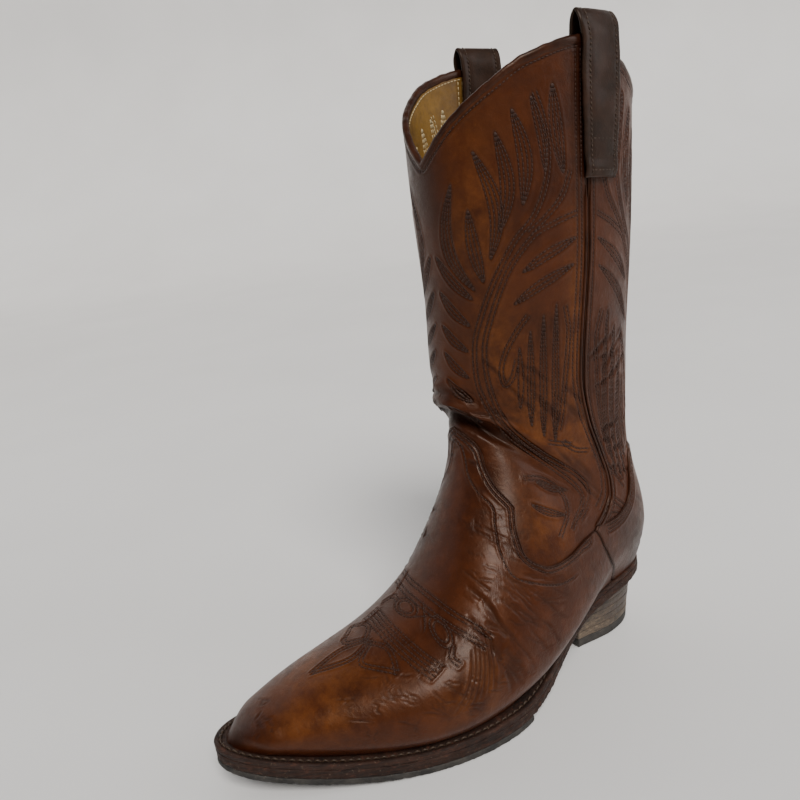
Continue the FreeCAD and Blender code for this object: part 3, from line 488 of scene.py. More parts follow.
def smooth_path(points, steps=24):
    """Dense points on a Catmull-Rom curve through the given ones."""
    points = np.array(points, float)
    if len(points) < 3:
        k = np.linspace(0, 1, steps * 2)[:, None]
        return points[0] * (1 - k) + points[-1] * k
    padded = np.concatenate([[2 * points[0] - points[1]], points, [2 * points[-1] - points[-2]]])
    pieces = []
    for a, b, c, d in zip(padded, padded[1:], padded[2:], padded[3:]):
        k = np.linspace(0, 1, steps, endpoint=False)[:, None]
        pieces.append(0.5 * (2 * b + (c - a) * k + (2 * a - 5 * b + 4 * c - d) * k ** 2
                             + (3 * b - a - 3 * c + d) * k ** 3))
    return np.concatenate(pieces + [points[-1:]])


def beside(path, distance):
    """The path moved sideways over the surface by a distance in mm, to its right."""
    station, turn = path.T
    normal, per_station, per_turn = surface_frame(station, turn)
    ahead = np.gradient(upper(station, turn), axis=0)
    ahead /= np.linalg.norm(ahead, axis=1, keepdims=True) + 1e-9
    side = np.cross(ahead, normal) * np.reshape(distance, (-1, 1))
    # the step along the surface that makes this move, by least squares
    a = (per_station ** 2).sum(1)
    b = (per_station * per_turn).sum(1)
    c = (per_turn ** 2).sum(1)
    p = (per_station * side).sum(1)
    q = (per_turn * side).sum(1)
    scale = a * c - b * b
    return path + np.stack([(p * c - q * b) / scale, (q * a - p * b) / scale], 1)


def rows(points, offsets):
    """Parallel rows beside one line."""
    path = smooth_path(points)
    return [beside(path, offset) for offset in offsets]


def mirrored(paths):
    """The same rows on the inner side."""
    return [path * (1, -1) for path in paths]


def behind(paths):
    """The same rows on the back of the leg, mirrored in the side seam."""
    shrink = (PI - SEAM_TURN) / SEAM_TURN
    return [np.stack([path[:, 0], 2 * SEAM_TURN - path[:, 1] + (1 - shrink) * (path[:, 1] - SEAM_TURN)], 1)
            for path in paths]


# Distance between two stitch rows in mm
ROW = 2.3
PAIR = (-ROW / 2, ROW / 2)


def leaf(tip, root, bulge, half_width):
    """Pointed leaf filled with stitch rows between two (turn, height) places. bulge bends it to
    its right."""
    spine = smooth_path(leg_line([tip, root]), 20)
    k = np.linspace(0, 1, len(spine))
    bend = np.clip(np.sin(PI * k), 0, 1)
    count = 2 + int(half_width > 1.6) + int(half_width > 2.7)
    shares = np.linspace(-1, 1, count)
    return [beside(spine, bulge * bend + share * half_width * bend ** 0.7) for share in shares]


def leg_pattern():
    """Flame stitching of one front quarter of the leg."""
    paths = []
    # main stem: two pairs of rows that sweep up from the ankle
    paths += rows(leg_line([
        (1.41, 97), (1.45, 108), (1.37, 118), (1.20, 130), (1.00, 143), (0.81, 156), (0.69, 171),
        (0.57, 186), (0.51, 206), (0.53, 221), (0.67, 243), (0.89, 265), (1.09, 278), (1.21, 293),
        (1.25, 310), (1.21, 328), (1.15, 340),
    ]), PAIR)
    paths += rows(leg_line([
        (1.47, 99), (1.51, 110), (1.43, 121), (1.26, 132), (1.09, 142), (0.91, 155), (0.74, 176),
        (0.62, 206), (0.67, 226), (0.83, 250), (1.06, 267), (1.26, 273), (1.50, 277),
    ]), PAIR)
    # leaves above the stem, from the front centre round to the side
    for tip, root, bulge, half_width in [
        ((0.35, 300), (0.50, 243), 10.0, 3.4),
        ((0.50, 286), (0.60, 247), 1.5, 3.2),
        ((0.60, 315), (0.68, 259), -7.0, 3.4),
        ((0.81, 323), (0.79, 273), -5.0, 3.4),
        ((0.96, 333), (1.01, 285), -4.0, 3.6),
        ((1.30, 343), (1.38, 298), 1.0, 3.6),
        ((1.12, 338), (1.22, 300), -2.0, 2.4),
        ((1.49, 264), (0.98, 250), 1.5, 2.4),
        ((1.47, 250), (0.90, 233), 2.0, 2.4),
        # bundle of upright leaves below the stem
        ((0.97, 208), (0.98, 172), -1.0, 1.5),
        ((1.07, 217), (1.07, 160), -1.0, 1.9),
        ((1.19, 225), (1.17, 152), -1.5, 1.9),
        ((1.31, 230), (1.27, 147), -2.0, 1.9),
        # short leaves at the front centre
        ((0.05, 262), (0.47, 238), 1.5, 2.4),
        ((0.06, 242), (0.44, 223), 1.5, 2.4),
        ((0.07, 223), (0.43, 208), 1.5, 2.2),
        ((0.10, 207), (0.45, 192), 1.5, 2.2),
        ((0.14, 191), (0.50, 178), 1.5, 2.0),
        ((0.19, 176), (0.56, 165), 1.5, 2.0),
        # small leaves beside the stem at the ankle
        ((1.00, 128), (1.30, 117), 1.5, 1.7),
        ((0.96, 118), (1.31, 106), 1.5, 1.7),
    ]:
        paths += leaf(tip, root, bulge, half_width)
    paths += rows(leg_line([(1.40, 228), (1.45, 212), (1.43, 190), (1.38, 168), (1.32, 154)]), PAIR)
    paths += rows(leg_line([
        (1.04, 226), (0.94, 218), (0.84, 207), (0.80, 196), (0.84, 187), (0.91, 191), (0.95, 201),
    ]), PAIR)
    paths += rows(leg_line([(1.05, 270), (1.22, 278), (1.36, 287), (1.44, 299)]), PAIR)
    # bolt and inner oval at the ankle
    paths += rows(leg_line([(1.20, 148), (1.42, 143)]), PAIR)
    paths += rows(leg_line([(1.35, 146), (1.45, 139), (1.58, 136)]), PAIR)
    paths += rows(leg_line([(0.86, 132), (1.09, 127), (1.25, 117), (1.33, 106), (1.30, 97)]), PAIR)
    return paths


def edge_path(line, first, last, count=90):
    """Points along one of the panels' edge lines."""
    turn = np.linspace(first, last, count)
    return np.stack([line.at(fold(turn)), turn], 1)


def vamp_side_rows():
    """Rows along the vamp's edge on one side, and the scalloped single row in front of them."""
    edge = edge_path(VAMP_EDGE, 0.02, 1.58)
    paths = [beside(edge, offset) for offset in (1.6, 3.7)]
    paths += rows(foot_line([
        (0.02, 5.92), (0.10, 5.74), (0.15, 5.44), (0.22, 5.08), (0.38, 4.86), (0.57, 4.80),
        (0.64, 4.52), (0.76, 4.22), (0.95, 4.12), (1.17, 4.38), (1.42, 4.76), (1.57, 5.10),
    ]), (0,))
    return paths


def toe_pattern():
    """Generic toe medallion: two bands of rows, two eyes and a pointed flower."""
    paths = rows(foot_line([(-0.55, 2.95), (-0.20, 2.74), (0.20, 2.70), (0.60, 2.82), (1.05, 3.18)]),
                 (0, ROW, 2 * ROW + 2, 3 * ROW + 2))
    for middle, low in ((-0.02, 2.30), (0.56, 2.42)):
        around = np.linspace(0, 2 * PI, 60)
        for grow in (1.0, 0.66):
            station = low + 0.135 * grow * np.sin(around)
            paths.append(np.stack([station, middle + 0.20 * grow * np.cos(around)], 1))
    for start, end in ((0.16, 0.40), (0.40, 0.16)):
        paths += rows(foot_line([(start, 2.24), (0.28, 2.37), (end, 2.52)]), (0,))
    paths += rows(foot_line([(-0.50, 2.25), (-0.36, 2.38), (-0.22, 2.32)]), PAIR)
    paths += rows(foot_line([(0.76, 2.44), (0.86, 2.36), (0.98, 2.42)]), PAIR)
    paths += rows(foot_line([(-0.50, 2.12), (-0.10, 2.00), (0.25, 1.98), (0.60, 2.05), (0.88, 2.20)]),
                  (0, ROW, 2 * ROW, 3 * ROW, 4 * ROW))
    # flower: a tall pointed petal and two side petals
    for points in (
        [(-0.02, 1.66), (-0.18, 1.30), (-0.10, 0.84)],
        [(-0.02, 1.66), (0.10, 1.30), (-0.10, 0.84)],
        [(0.02, 1.62), (0.30, 1.72), (0.66, 1.66)],
        [(0.02, 1.62), (0.28, 1.38), (0.66, 1.66)],
        [(-0.06, 1.62), (-0.30, 1.80), (-0.58, 1.72)],
        [(-0.06, 1.62), (-0.30, 1.44), (-0.58, 1.72)],
    ):
        paths += rows(foot_line(points), PAIR)
    return paths


quarter = leg_pattern()
FRONT_ROWS = quarter + mirrored(quarter)
top_row = edge_path(TOP_EDGE, -1.52, 1.52, 200)
FRONT_ROWS.append(beside(top_row, 4.2))
SEAM_STATIONS = np.linspace(6.9, 12.80, 120)
for seam_side in (1, -1):
    for seam_gap in (-0.055, -0.10):
        seam_row = np.stack([SEAM_STATIONS, seam_side * (SIDE_SEAM.at(SEAM_STATIONS) + seam_gap)], 1)
        FRONT_ROWS.append(seam_row)
BACK_ROWS = behind(quarter) + mirrored(behind(quarter))
BACK_ROWS.append(beside(edge_path(TOP_EDGE, 1.68, 2 * PI - 1.68, 200), 4.2))
for seam_side in (1, -1):
    BACK_ROWS.append(np.stack([SEAM_STATIONS, seam_side * (SIDE_SEAM.at(SEAM_STATIONS) + 0.06)], 1))
side_rows = vamp_side_rows()
VAMP_ROWS = side_rows + mirrored(side_rows) + toe_pattern()
counter_top = edge_path(COUNTER_EDGE, 1.70, 2 * PI - 1.70, 240)
COUNTER_ROWS = [beside(counter_top, offset) for offset in (1.7, 3.9, 6.1)]


class Lines:
    """Nearest distance to a set of paths, with a strength that fades to each path's ends."""

    def __init__(self, paths, spacing=0.45, fade=False):
        places, strengths = [], []
        for path in paths:
            points = upper(path[:, 0], path[:, 1])
            run = lengths_along(points)
            at = np.linspace(0, run[-1], max(int(run[-1] / spacing), 2))
            station, turn = np.interp(at, run, path[:, 0]), np.interp(at, run, path[:, 1])
            places.append(upper(station, turn))
            strengths.append(np.clip(np.sin(PI * at / run[-1]), 0, 1) ** 0.6 if fade else np.ones(len(at)))
        self.strengths = np.concatenate(strengths)
        self.tree = search_tree(np.concatenate(places))

    def measure(self, points):
        """Distance and strength at each point."""
        flat = points.reshape(-1, 3)
        found = [self.tree.find(point)[1:] for point in flat.tolist()]
        number = np.array([item[0] for item in found])
        distance = np.array([item[1] for item in found])
        return distance.reshape(points.shape[:-1]), self.strengths[number].reshape(points.shape[:-1])


def valley(distance, width):
    """Profile of a crease: 1 in its middle, with low ridges on both sides."""
    middle = np.exp(-(distance / width) ** 2)
    ridge = np.exp(-((distance - 1.9 * width) / (0.9 * width)) ** 2)
    return middle - 0.45 * ridge


def random_creases(seed, count, stations, turns, length, tilt):
    """Short wandering creases across the foot or leg, within a patch of stations and turns."""
    chance = np.random.default_rng(seed)
    paths = []
    for _ in range(count):
        station = chance.uniform(*stations)
        turn = chance.uniform(*turns)
        reach = length * chance.uniform(0.5, 1.2)
        slope = tilt + chance.uniform(-0.12, 0.12)
        knots = [
            (station + (k - 0.5) * slope + chance.uniform(-0.03, 0.03), turn + (k - 0.5) * reach)
            for k in np.linspace(0, 1, 5)
        ]
        paths.append(smooth_path(knots, 10))
    return paths


# Creases: (paths, depth in mm, width in mm). The first number of random_creases is its seed
VAMP_CREASES = [
    (random_creases(3, 9, (3.00, 3.45), (0.85, 1.55), 0.65, 0.18)
     + random_creases(4, 8, (3.00, 3.45), (-1.50, -0.80), 0.60, -0.18), 1.0, 1.5),
    (random_creases(5, 26, (3.50, 4.60), (0.35, 1.60), 0.50, 0.32)
     + random_creases(6, 24, (3.50, 4.60), (-1.60, -0.35), 0.50, -0.32), 0.50, 0.8),
    (random_creases(7, 12, (1.20, 2.10), (0.70, 1.60), 0.45, 0.10)
     + random_creases(8, 10, (1.20, 2.10), (-1.60, -0.80), 0.45, -0.10), 0.28, 0.55),
    ([smooth_path(foot_line([(0.95, 3.16 - 0.09 * k), (1.22, 2.99 - 0.10 * k), (1.50, 2.84 - 0.13 * k)]))
      for k in range(6)], 0.85, 0.9),
    (random_creases(17, 34, (1.00, 3.30), (0.55, 1.65), 0.22, 0.22)
     + random_creases(18, 34, (3.30, 4.90), (0.50, 1.65), 0.25, 0.30), 0.28, 0.55),
    (random_creases(9, 10, (-0.45, 0.10), (-0.70, 0.90), 0.35, 0.03), 0.28, 0.9),
    (random_creases(10, 8, (5.30, 6.20), (-0.30, 0.30), 0.30, 0.05), 0.35, 1.2),
]
LEG_CREASES = [
    ([smooth_path(leg_line([(-0.75, 158), (-0.40, 166), (0.0, 168), (0.40, 165), (0.75, 156), (1.05, 143),
                            (1.32, 128)])),
      smooth_path(leg_line([(-0.55, 182), (-0.20, 180), (0.20, 183), (0.60, 176)]))], 2.3, 3.2),
    (random_creases(11, 14, (6.60, 8.20), (-0.90, 0.90), 0.55, 0.10), 0.55, 1.5),
    (random_creases(12, 16, (7.20, 9.60), (0.70, 1.55), 0.35, -0.30)
     + random_creases(13, 16, (7.20, 9.60), (-1.55, -0.70), 0.35, 0.30), 0.45, 1.3),
    (random_creases(14, 14, (8.30, 10.2), (1.80, 2.60), 0.40, 0.35)
     + random_creases(15, 14, (8.30, 10.2), (-2.60, -1.80), 0.40, -0.35), 0.60, 1.6),
]
COUNTER_CREASES = [(random_creases(16, 8, (6.6, 8.2), (1.9, 4.3), 0.35, 0.10), 0.25, 1.2)]

# Patina: warm worn areas as (station, turn), spread; and burnished dark areas
WARM_PLACES = [
    ((0.9, 0.35), (0.65, 0.75)), ((0.4, 0.9), (0.50, 0.50)), ((1.0, -0.7), (0.60, 0.50)),
    ((8.4, 1.15), (1.10, 0.32)), ((9.6, 0.75), (0.80, 0.25)), ((5.4, 1.15), (0.50, 0.28)),
    ((8.2, -1.10), (1.00, 0.35)), ((11.5, 0.55), (0.80, 0.25)), ((2.6, 1.35), (0.50, 0.35)),
    ((10.2, 1.50), (1.40, 0.10)), ((9.8, 2.60), (1.30, 0.30)), ((8.6, 1.45), (0.50, 0.20)),
    ((10.6, -0.90), (0.90, 0.30)), ((9.8, -2.60), (1.30, 0.30)),
]
DARK_PLACES = [
    ((6.9, 0.30), (0.50, 0.80)), ((6.9, -0.40), (0.50, 0.60)), ((-0.8, 0.0), (0.35, 1.60)),
    ((11.9, 0.0), (0.60, 0.30)), ((12.3, 1.55), (0.9, 0.12)), ((7.0, 2.3), (0.7, 0.5)),
]


def place_mark(station, turn, places):
    """How far a point belongs to one of the areas, 0 to 1."""
    total = sum(bump_at(station, turn, place, spread) for place, spread in places)
    return np.clip(total, 0, 1)


def grid_border(rows_of_points, columns):
    """Numbers of a grid's border points, once round."""
    last = (rows_of_points - 1) * columns
    return np.concatenate([
        np.arange(rows_of_points) * columns,
        last + np.arange(1, columns),
        np.arange(rows_of_points - 2, -1, -1) * columns + columns - 1,
        np.arange(columns - 2, 0, -1),
    ])


def relief(flat, stitch_rows, creases):
    """Height of the face in mm at the points of a smooth panel, and how far each point lies in a
    stitch channel and in a crease, 0 to 1."""
    distance, _ = Lines(stitch_rows).measure(flat)
    # channel: the stitch groove's profile, and where the material paints shade into the stitch channel
    channel = np.exp(-(distance / 0.55) ** 2)
    padding = np.exp(-((distance - ROW / 2) / 0.75) ** 2)
    lift = 0.30 * padding - 0.42 * channel
    # how far each point lies in a crease: the material paints shade there and makes it rougher
    crease_shade = np.zeros(distance.shape)
    for paths, deep, wide in creases:
        away, strength = Lines(paths, 0.8, fade=True).measure(flat)
        lift -= deep * strength * valley(away, wide)
        crease_shade = np.maximum(crease_shade, strength * np.exp(-(away / wide) ** 2))
    return lift, channel, crease_shade


def distance_to_rim(flat):
    """Distance in mm from each point of a grid to the grid's border."""
    rim = np.concatenate([flat[0], flat[-1], flat[:, 0], flat[:, -1]])
    tree = search_tree(rim.tolist())
    found = [tree.find(point)[2] for point in flat.reshape(-1, 3).tolist()]
    return np.array(found).reshape(flat.shape[:-1])


def leather_panel(name, patch, counts, depth, thickness, stitch_rows, creases, stands_for):
    """Outer face of a panel with its stitch channels and creases, and its cut edge turned in."""
    columns, lines = counts
    u = edge_steps(columns, 2.5 / columns)
    v = edge_steps(lines, 2.5 / lines)
    grid_u, grid_v = np.meshgrid(u, v, indexing="ij")
    station, turn = patch(grid_u, grid_v)
    flat = upper(station, turn)
    lift, channel, crease_shade = relief(flat, stitch_rows, creases)
    to_edge = distance_to_rim(flat)
    lift -= 0.45 * np.exp(-(to_edge / 0.55) ** 2)
    points = skin(station, turn, depth - lift)
    faces = grid_faces(len(u), len(v))
    # the cut edge: the border again, at two deeper levels
    border = grid_border(len(u), len(v))
    edge_station, edge_turn = station.ravel()[border], turn.ravel()[border]
    rings = [skin(edge_station, edge_turn, depth + level) for level in (0.5 + 0.3 * thickness, thickness)]
    total = station.size
    size = len(border)
    after = (np.arange(size) + 1) % size
    upper_ring = border
    rim_faces = []
    for level in range(2):
        lower_ring = total + level * size + np.arange(size)
        rim_faces.append(np.stack([upper_ring[after], upper_ring, lower_ring, lower_ring[after]], 1))
        upper_ring = lower_ring
    all_points = np.concatenate([points.reshape(-1, 3)] + rings)
    all_faces = np.concatenate([faces[:, ::-1]] + rim_faces)

    def padded(values, edge_value):
        return np.concatenate([values.ravel(), np.full(2 * size, edge_value)])

    marks = {
        # the stitch and crease marks tell the material where to paint shade into the stitch channels and
        # creases
        "stitch": padded(channel, 0.0),
        "crease": padded(crease_shade, 0.0),
        "edge": padded(np.exp(-to_edge / 1.1), 1.0),
        "warm": padded(place_mark(station, turn, WARM_PLACES), 0.0),
        "dark": padded(place_mark(station, turn, DARK_PLACES), 1.0),
    }
    return make_piece(name, all_points, all_faces, LEATHER, "upper_leather", stands_for, marks)


def thread(paths, depth, pitch=2.35, radius=0.42, facing=1):
    """Separate stitches along the paths, each a short bowed thread that dips into the leather."""
    part_points, part_faces = [], []
    # one stitch: places along it, how far they dip in radii, and how thick they are
    along = np.array([0.06, 0.24, 0.5, 0.76, 0.94])
    dip = np.array([-0.75, -0.15, 0.0, -0.15, -0.75])
    thick = np.array([0.55, 0.92, 1.0, 0.92, 0.55])
    around = np.linspace(-0.15 * PI, 1.15 * PI, 6)
    for path in paths:
        points = upper(path[:, 0], path[:, 1])
        run = lengths_along(points)
        count = int(run[-1] / pitch)
        if count < 1:
            continue
        at = (np.arange(count)[:, None] + along[None]) * (run[-1] / count)
        station, turn = np.interp(at, run, path[:, 0]), np.interp(at, run, path[:, 1])
        normal, _, _ = surface_frame(station, turn)
        middle = skin(station, turn, depth)
        ahead = middle[:, -1:] - middle[:, :1]
        ahead = ahead / np.linalg.norm(ahead, axis=-1, keepdims=True)
        side = np.cross(np.broadcast_to(ahead, normal.shape), normal)
        outward = normal * facing
        middle = middle + outward * (dip * radius)[None, :, None]
        ring = (side[:, :, None] * np.cos(around)[:, None] + outward[:, :, None] * np.sin(around)[:, None])
        ring = middle[:, :, None] + ring * (thick * radius)[None, :, None, None]
        cell = grid_faces(len(along), len(around))
        size = len(along) * len(around)
        part_points.append(ring.reshape(-1, 3))
        part_faces.append((cell[None] + np.arange(count)[:, None, None] * size).reshape(-1, 4))
    return join_parts(list(zip(part_points, part_faces)))


# ---------------------------------------------------------------------------
# Materials
# ---------------------------------------------------------------------------


class Shader:
    """A material under construction. Noise scales are in patterns per metre of the object."""

    def __init__(self, name):
        self.material = bpy.data.materials.new(name)
        self.material.use_nodes = True
        self.tree = self.material.node_tree
        self.surface = self.tree.nodes["Principled BSDF"]
        self.place = self.add("ShaderNodeTexCoord").outputs["Object"]

    def add(self, kind, settings=None, links=None):
        node = self.tree.nodes.new(kind)
        for key, value in (settings or {}).items():
            setattr(node, key, value)
        for key, value in (links or {}).items():
            self.feed(node.inputs[key], value)
        return node

    def feed(self, socket, value):
        if isinstance(value, bpy.types.NodeSocket):
            self.tree.links.new(value, socket)
        else:
            socket.default_value = value

    def stretched(self, x, y, z):
        """The object's own coordinates, stretched so that noise gets longer or shorter one way."""
        return self.add("ShaderNodeMapping", links={"Vector": self.place, "Scale": (x, y, z)}).outputs[0]

    def noise(self, scale, detail=3.0, rough=0.55, place=None, distortion=0.0):
        return self.add("ShaderNodeTexNoise", links={
            "Vector": place or self.place, "Scale": scale, "Detail": detail, "Roughness": rough,
            "Distortion": distortion,
        }).outputs["Fac"]

    def cells(self, scale, feature="F1", place=None):
        return self.add("ShaderNodeTexVoronoi", {"feature": feature}, {
            "Vector": place or self.place, "Scale": scale,
        }).outputs["Distance"]

    def mark(self, name):
        return self.add("ShaderNodeAttribute", {"attribute_name": name}).outputs["Fac"]

    def span(self, value, low, high, to_low=0.0, to_high=1.0):
        """Value mapped from one range to another and held inside it."""
        return self.add("ShaderNodeMapRange", links={
            "Value": value, "From Min": low, "From Max": high, "To Min": to_low, "To Max": to_high,
        }).outputs[0]

    def math(self, operation, first, second):
        return self.add("ShaderNodeMath", {"operation": operation}, {0: first, 1: second}).outputs[0]

    def blend(self, factor, first, second, mode="MIX"):
        node = self.add("ShaderNodeMix", {"data_type": "RGBA", "blend_type": mode})
        self.feed(node.inputs[0], factor)
        self.feed(node.inputs[6], (*first, 1) if isinstance(first, tuple) else first)
        self.feed(node.inputs[7], (*second, 1) if isinstance(second, tuple) else second)
        return node.outputs[2]

    def bump(self, height, distance_mm, strength=1.0, before=None):
        links = {"Height": height, "Distance": distance_mm * MM, "Strength": strength}
        if before:
            links["Normal"] = before
        return self.add("ShaderNodeBump", links=links).outputs[0]

    def finish(self, colour, roughness, normal=None, **constants):
        self.feed(self.surface.inputs["Base Color"], (*colour, 1) if isinstance(colour, tuple) else colour)
        self.feed(self.surface.inputs["Roughness"], roughness)
        if normal:
            self.feed(self.surface.inputs["Normal"], normal)
        for key, value in constants.items():
            self.surface.inputs[key.replace("_", " ")].default_value = value
        return self.material


# A dyed finish tints its own reflections
SHEEN = {
    "Specular_IOR_Level": 0.22, "Specular_Tint": (1.0, 0.72, 0.52, 1),
    "Coat_Weight": 0.13, "Coat_Roughness": 0.24,
}


def boot_leather():
    """Glossy hand-coloured calf: reddish chestnut, warmer where worn, with shade painted nearly black into
    the stitch channels and painted shade in the creases.
    """
    s = Shader("chestnut_leather")
    cloud = s.noise(22, 4, 0.6)
    mottle = s.noise(120, 5, 0.65)
    colour = s.blend(s.span(cloud, 0.35, 0.65), (0.027, 0.0052, 0.0013), (0.057, 0.0128, 0.0027))
    colour = s.blend(s.span(mottle, 0.45, 0.75, 0.0, 0.45), colour, (0.088, 0.0210, 0.0048))
    worn = s.math("MULTIPLY", s.mark("warm"), s.span(s.noise(60, 5, 0.7), 0.35, 0.62))
    colour = s.blend(s.math("MULTIPLY", worn, 0.60), colour, (0.140, 0.042, 0.0080))
    streak = s.span(s.noise(90, 6, 0.7, s.stretched(5.0, 0.6, 5.0), 0.6), 0.60, 0.75, 0.0, 0.5)
    streak = s.math("MULTIPLY", streak, s.span(worn, 0.0, 0.5, 0.25, 1.0))
    colour = s.blend(streak, colour, (0.150, 0.052, 0.012))
    # darker where the panel's marks say so: the burnished areas and near the cut edges, and painted shade
    # in the creases and stitch channels
    for mark, share, shade in (
        ("dark", 0.62, (0.011, 0.0032, 0.0020)),
        ("crease", 0.55, (0.015, 0.0040, 0.0022)),
        ("edge", 0.72, (0.010, 0.0032, 0.0020)),
        ("stitch", 0.72, (0.009, 0.0028, 0.0018)),
    ):
        colour = s.blend(s.math("MULTIPLY", s.mark(mark), share), colour, shade)
    rough = s.span(s.noise(160, 4, 0.6), 0.3, 0.7, 0.34, 0.50)
    rough = s.math("ADD", rough, s.math("MULTIPLY", s.mark("crease"), 0.10))
    grain = s.bump(s.cells(1250), 0.055, 0.55)
    fine = s.bump(s.noise(520, 5, 0.65), 0.18, 0.50, grain)
    wrinkle = s.noise(100, 6, 0.65, s.stretched(0.55, 2.6, 2.0), 0.6)
    wrinkled = s.bump(wrinkle, 0.9, 0.45, fine)
    swell = s.bump(s.noise(28, 3, 0.5), 2.2, 0.25, wrinkled)
    return s.finish(colour, rough, swell, **SHEEN)


def trim_leather(name, dark, light, rough_low, rough_high, grain_mm=0.12):
    """Plain leather for straps, bindings and linings."""
    s = Shader(name)
    colour = s.blend(s.span(s.noise(55, 5, 0.65), 0.35, 0.65), dark, light)
    speck = s.span(s.noise(420, 4, 0.7), 0.58, 0.72, 0.0, 0.5)
    colour = s.blend(speck, colour, tuple(1.7 * part for part in light))
    rough = s.span(s.noise(140, 4, 0.6), 0.3, 0.7, rough_low, rough_high)
    grain = s.bump(s.cells(1100), 0.08, 0.6)
    normal = s.bump(s.noise(300, 5, 0.65), grain_mm, 0.6, grain)
    normal = s.bump(s.noise(60, 4, 0.55), 0.8, 0.35, normal)
    return s.finish(colour, rough, normal, **SHEEN)


def lining_leather():
    """Mustard sheepskin lining, darker with wear."""
    s = Shader("mustard_lining")
    colour = s.blend(s.span(s.noise(30, 5, 0.65), 0.35, 0.68), (0.130, 0.060, 0.008), (0.290, 0.150, 0.020))
    colour = s.blend(s.span(s.noise(260, 5, 0.7), 0.50, 0.75, 0.0, 0.6), colour, (0.085, 0.040, 0.009))
    normal = s.bump(s.noise(700, 5, 0.7), 0.16, 0.7)
    normal = s.bump(s.noise(90, 4, 0.6), 0.9, 0.35, normal)
    return s.finish(colour, s.span(s.noise(200, 3), 0.3, 0.7, 0.42, 0.66), normal)


def sole_edge():
    """Rough, nearly black sole edge with reddish leather showing through the worn finish."""
    s = Shader("worn_sole_leather")
    layers = s.noise(40, 6, 0.75, s.stretched(1.0, 1.0, 14.0), 0.3)
    colour = s.blend(s.span(layers, 0.35, 0.65), (0.011, 0.0060, 0.0045), (0.042, 0.018, 0.011))
    scuff = s.span(s.noise(150, 7, 0.78, s.stretched(1.0, 1.0, 3.5)), 0.54, 0.68)
    colour = s.blend(s.math("MULTIPLY", scuff, 0.75), colour, (0.105, 0.036, 0.020))
    dust = s.span(s.noise(600, 4, 0.7), 0.62, 0.74, 0.0, 0.6)
    colour = s.blend(dust, colour, (0.26, 0.19, 0.13))
    normal = s.bump(s.noise(420, 8, 0.8, s.stretched(1.0, 1.0, 2.5)), 0.55, 0.9)
    normal = s.bump(layers, 0.6, 0.7, normal)
    return s.finish(colour, s.span(s.noise(180, 4), 0.3, 0.7, 0.50, 0.82), normal, Specular_IOR_Level=0.25)


def stacked_leather():
    """Grey-brown stacked heel leather with fine layer lines and scuffs."""
    s = Shader("stacked_heel_leather")
    strata = s.noise(120, 6, 0.75, s.stretched(0.7, 0.7, 16.0), 0.3)
    fleck = s.noise(380, 6, 0.75, s.stretched(1.0, 1.0, 2.6))
    colour = s.blend(s.span(strata, 0.35, 0.65), (0.020, 0.0125, 0.0085), (0.072, 0.046, 0.030))
    worn = s.math("MULTIPLY", s.span(s.noise(45, 5, 0.7), 0.42, 0.62), s.span(fleck, 0.40, 0.62))
    colour = s.blend(s.math("MULTIPLY", worn, 0.85), colour, (0.250, 0.185, 0.120))
    dark = s.span(s.noise(70, 5, 0.7), 0.52, 0.70, 0.0, 0.8)
    colour = s.blend(dark, colour, (0.012, 0.0075, 0.0055))
    normal = s.bump(strata, 0.25, 0.7)
    normal = s.bump(fleck, 0.25, 0.8, normal)
    return s.finish(colour, s.span(worn, 0.0, 1.0, 0.46, 0.78), normal)


def rubber(name, shade):
    """Matt, dusty black rubber."""
    s = Shader(name)
    colour = s.blend(s.span(s.noise(90, 6, 0.7), 0.40, 0.65), (shade, shade * 0.93, shade * 0.88),
                     (shade * 2.6, shade * 2.3, shade * 2.0))
    dust = s.span(s.noise(350, 5, 0.75), 0.60, 0.74, 0.0, 0.7)
    colour = s.blend(dust, colour, (0.17, 0.14, 0.11))
    normal = s.bump(s.noise(600, 6, 0.75), 0.25, 0.8)
    return s.finish(colour, s.span(s.noise(150, 3), 0.3, 0.7, 0.55, 0.80), normal, Specular_IOR_Level=0.30)


def thread_material(name, dark, light):
    """Waxed thread with fine strands."""
    s = Shader(name)
    strand = s.noise(1600, 3, 0.6, s.stretched(1.0, 1.0, 1.6))
    colour = s.blend(s.span(strand, 0.35, 0.65), dark, light)
    return s.finish(colour, s.span(s.noise(300, 2), 0.3, 0.7, 0.40, 0.60), s.bump(strand, 0.12, 0.7),
                    Specular_IOR_Level=0.30)


def plain_fibre(name, dark, light, scale, rough, bump_mm):
    """Board, cork or wood with a mottled grain."""
    s = Shader(name)
    grain = s.noise(scale, 6, 0.7)
    colour = s.blend(s.span(grain, 0.35, 0.65), dark, light)
    rough_map = s.span(s.noise(scale * 2, 3), 0.3, 0.7, rough - 0.1, rough)
    return s.finish(colour, rough_map, s.bump(s.noise(scale * 4, 5, 0.7), bump_mm, 0.8))


def brushed_steel():
    """Steel brushed along the boot, with brown stains."""
    s = Shader("brushed_steel")
    brush = s.noise(900, 4, 0.7, s.stretched(1.0, 0.08, 1.0))
    colour = s.blend(s.span(s.noise(70, 4), 0.4, 0.7), (0.48, 0.47, 0.45), (0.24, 0.18, 0.13))
    return s.finish(colour, s.span(brush, 0.3, 0.7, 0.28, 0.5), s.bump(brush, 0.05, 0.5), Metallic=1.0)


